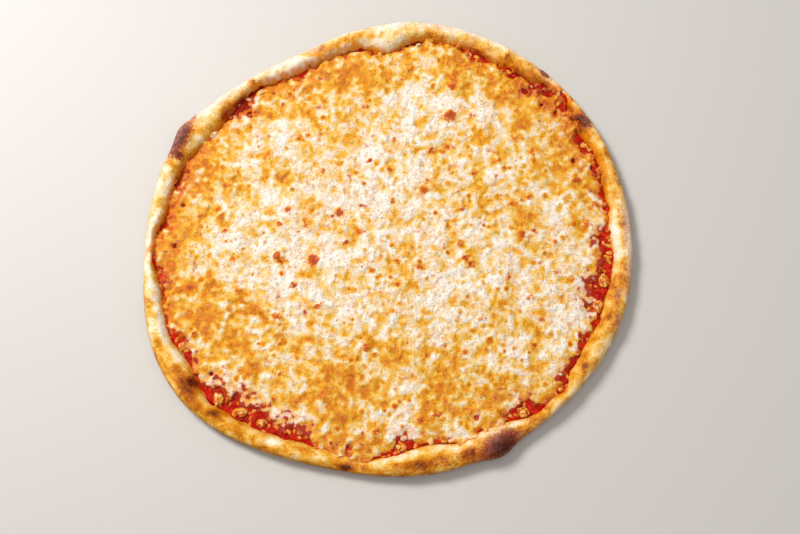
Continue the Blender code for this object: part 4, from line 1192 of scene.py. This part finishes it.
studio = {
    "floorHalf": 9.0, "floorDrop": 0.0004, "floorColour": (196, 194, 190),
    "farGlow": (0.7, 3.0, 0.36),  # from, to and strength: the floor isn't dark in low views
    "lights": {  # name: (place, size, power)
        "key": ((-0.95, 0.8, 1.4), 0.55, 36.2),
        "fill": ((0.9, -0.9, 1.3), 1.6, 3.2),
        "over": ((0.0, 0.1, 1.9), 1.6, 5.5)},
    "glowColour": (1.0, 0.97, 0.94, 1),
    "lightColour": (1.0, 0.98, 0.95),
    "skyColour": (1.0, 0.96, 0.93, 1),
    "skyStrength": 0.36,
}


def makeFloor():
    half, drop = studio["floorHalf"], studio["floorDrop"]
    mesh = bpy.data.meshes.new("floor")
    corners = [(-half, -half, -drop), (half, -half, -drop), (half, half, -drop), (-half, half, -drop)]
    mesh.from_pydata(corners, [], [(0, 1, 2, 3)])
    material, tree, shader = newMaterial("paleFloor")
    near, far, strength = studio["farGlow"]
    place = add(tree, "ShaderNodeTexCoord").outputs["Object"]
    away = add(tree, "ShaderNodeVectorMath", {0: place}, operation="LENGTH").outputs["Value"]
    feed(tree, shader, {
        "Base Color": rgb(*studio["floorColour"]), "Roughness": 0.6, "Emission Color": studio["glowColour"],
        "Emission Strength": rangeOf(tree, away, near, far, 0.0, strength)})
    mesh.materials.append(material)
    return addObject("floor", mesh)


def makeStage():
    floor = makeFloor()
    for name, (place, size, power) in studio["lights"].items():
        data = bpy.data.lights.new(name, "AREA")
        data.size, data.energy, data.color = size, power, studio["lightColour"]
        lamp = addObject(name, data)
        lamp.location = place
        lamp.rotation_euler = (-Vector(place)).to_track_quat("-Z", "Y").to_euler()
    world = bpy.data.worlds.new("studio")
    world.use_nodes = True
    sky = {0: studio["skyColour"], 1: studio["skyStrength"]}
    feed(world.node_tree, world.node_tree.nodes["Background"], sky)
    data = bpy.data.cameras.new("camera")
    data.lens, data.sensor_width = viewPoint["lens"], viewPoint["sensor"]
    camera = addObject("camera", data)
    camera.location = [value * mm for value in viewPoint["place"]]
    camera.rotation_euler = (math.radians(viewPoint["lean"]), 0, 0)
    scene = bpy.context.scene
    scene.world, scene.camera = world, camera
    scene.view_settings.view_transform = "Standard"


makeStage()
print("stage: camera, floor and lights")

skin = skinTree()
grains = grainTree()
finishes = {
    "crust": crustFinish(), "sauce": sauceFinish(), "cheese": cheeseFinish(),
    "herb": plainFinish("driedHerb", rgb(70, 62, 34), 0.6),
    "flour": plainFinish("flour", rgb(250, 240, 220), 0.8)}
print("trees and finishes ready")

crust = applyTree(makeCrust(), skin, dict(dough["skin"], Finish=finishes["crust"]))
print("dough:", len(crust.data.polygons), "faces")

sauceSheet = makeSauce()
sauceSheet.data.materials.append(finishes["sauce"])
print("sauce:", len(sauceSheet.data.polygons), "faces")

cheeseSheet = applyTree(makeCheese(), skin, dict(cheese["skin"], Finish=finishes["cheese"]))
print("cheese:", len(cheeseSheet.data.polygons), "faces")

curds = makeCurds()
curds.data.materials.append(finishes["cheese"])
carriers = {"crust": crust, "sauce": sauceSheet, "cheese": cheeseSheet}
for name, kind in scattered.items():
    sizes = dict(kind["sizes"], Finish=finishes[kind["finish"]])
    made = scatterOn(carriers[kind["on"]], name, kind["where"], grains, sizes)
    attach(made, "root")
    print(name, len(made.data.polygons), "faces")

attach(crust, "root")
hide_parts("crust")
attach(sauceSheet, "root")
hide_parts("sauce")
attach(cheeseSheet, "root")
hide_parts("cheese")
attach(curds, "root")
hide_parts(*[f"curd_{number}" for number in range(1, 9)])
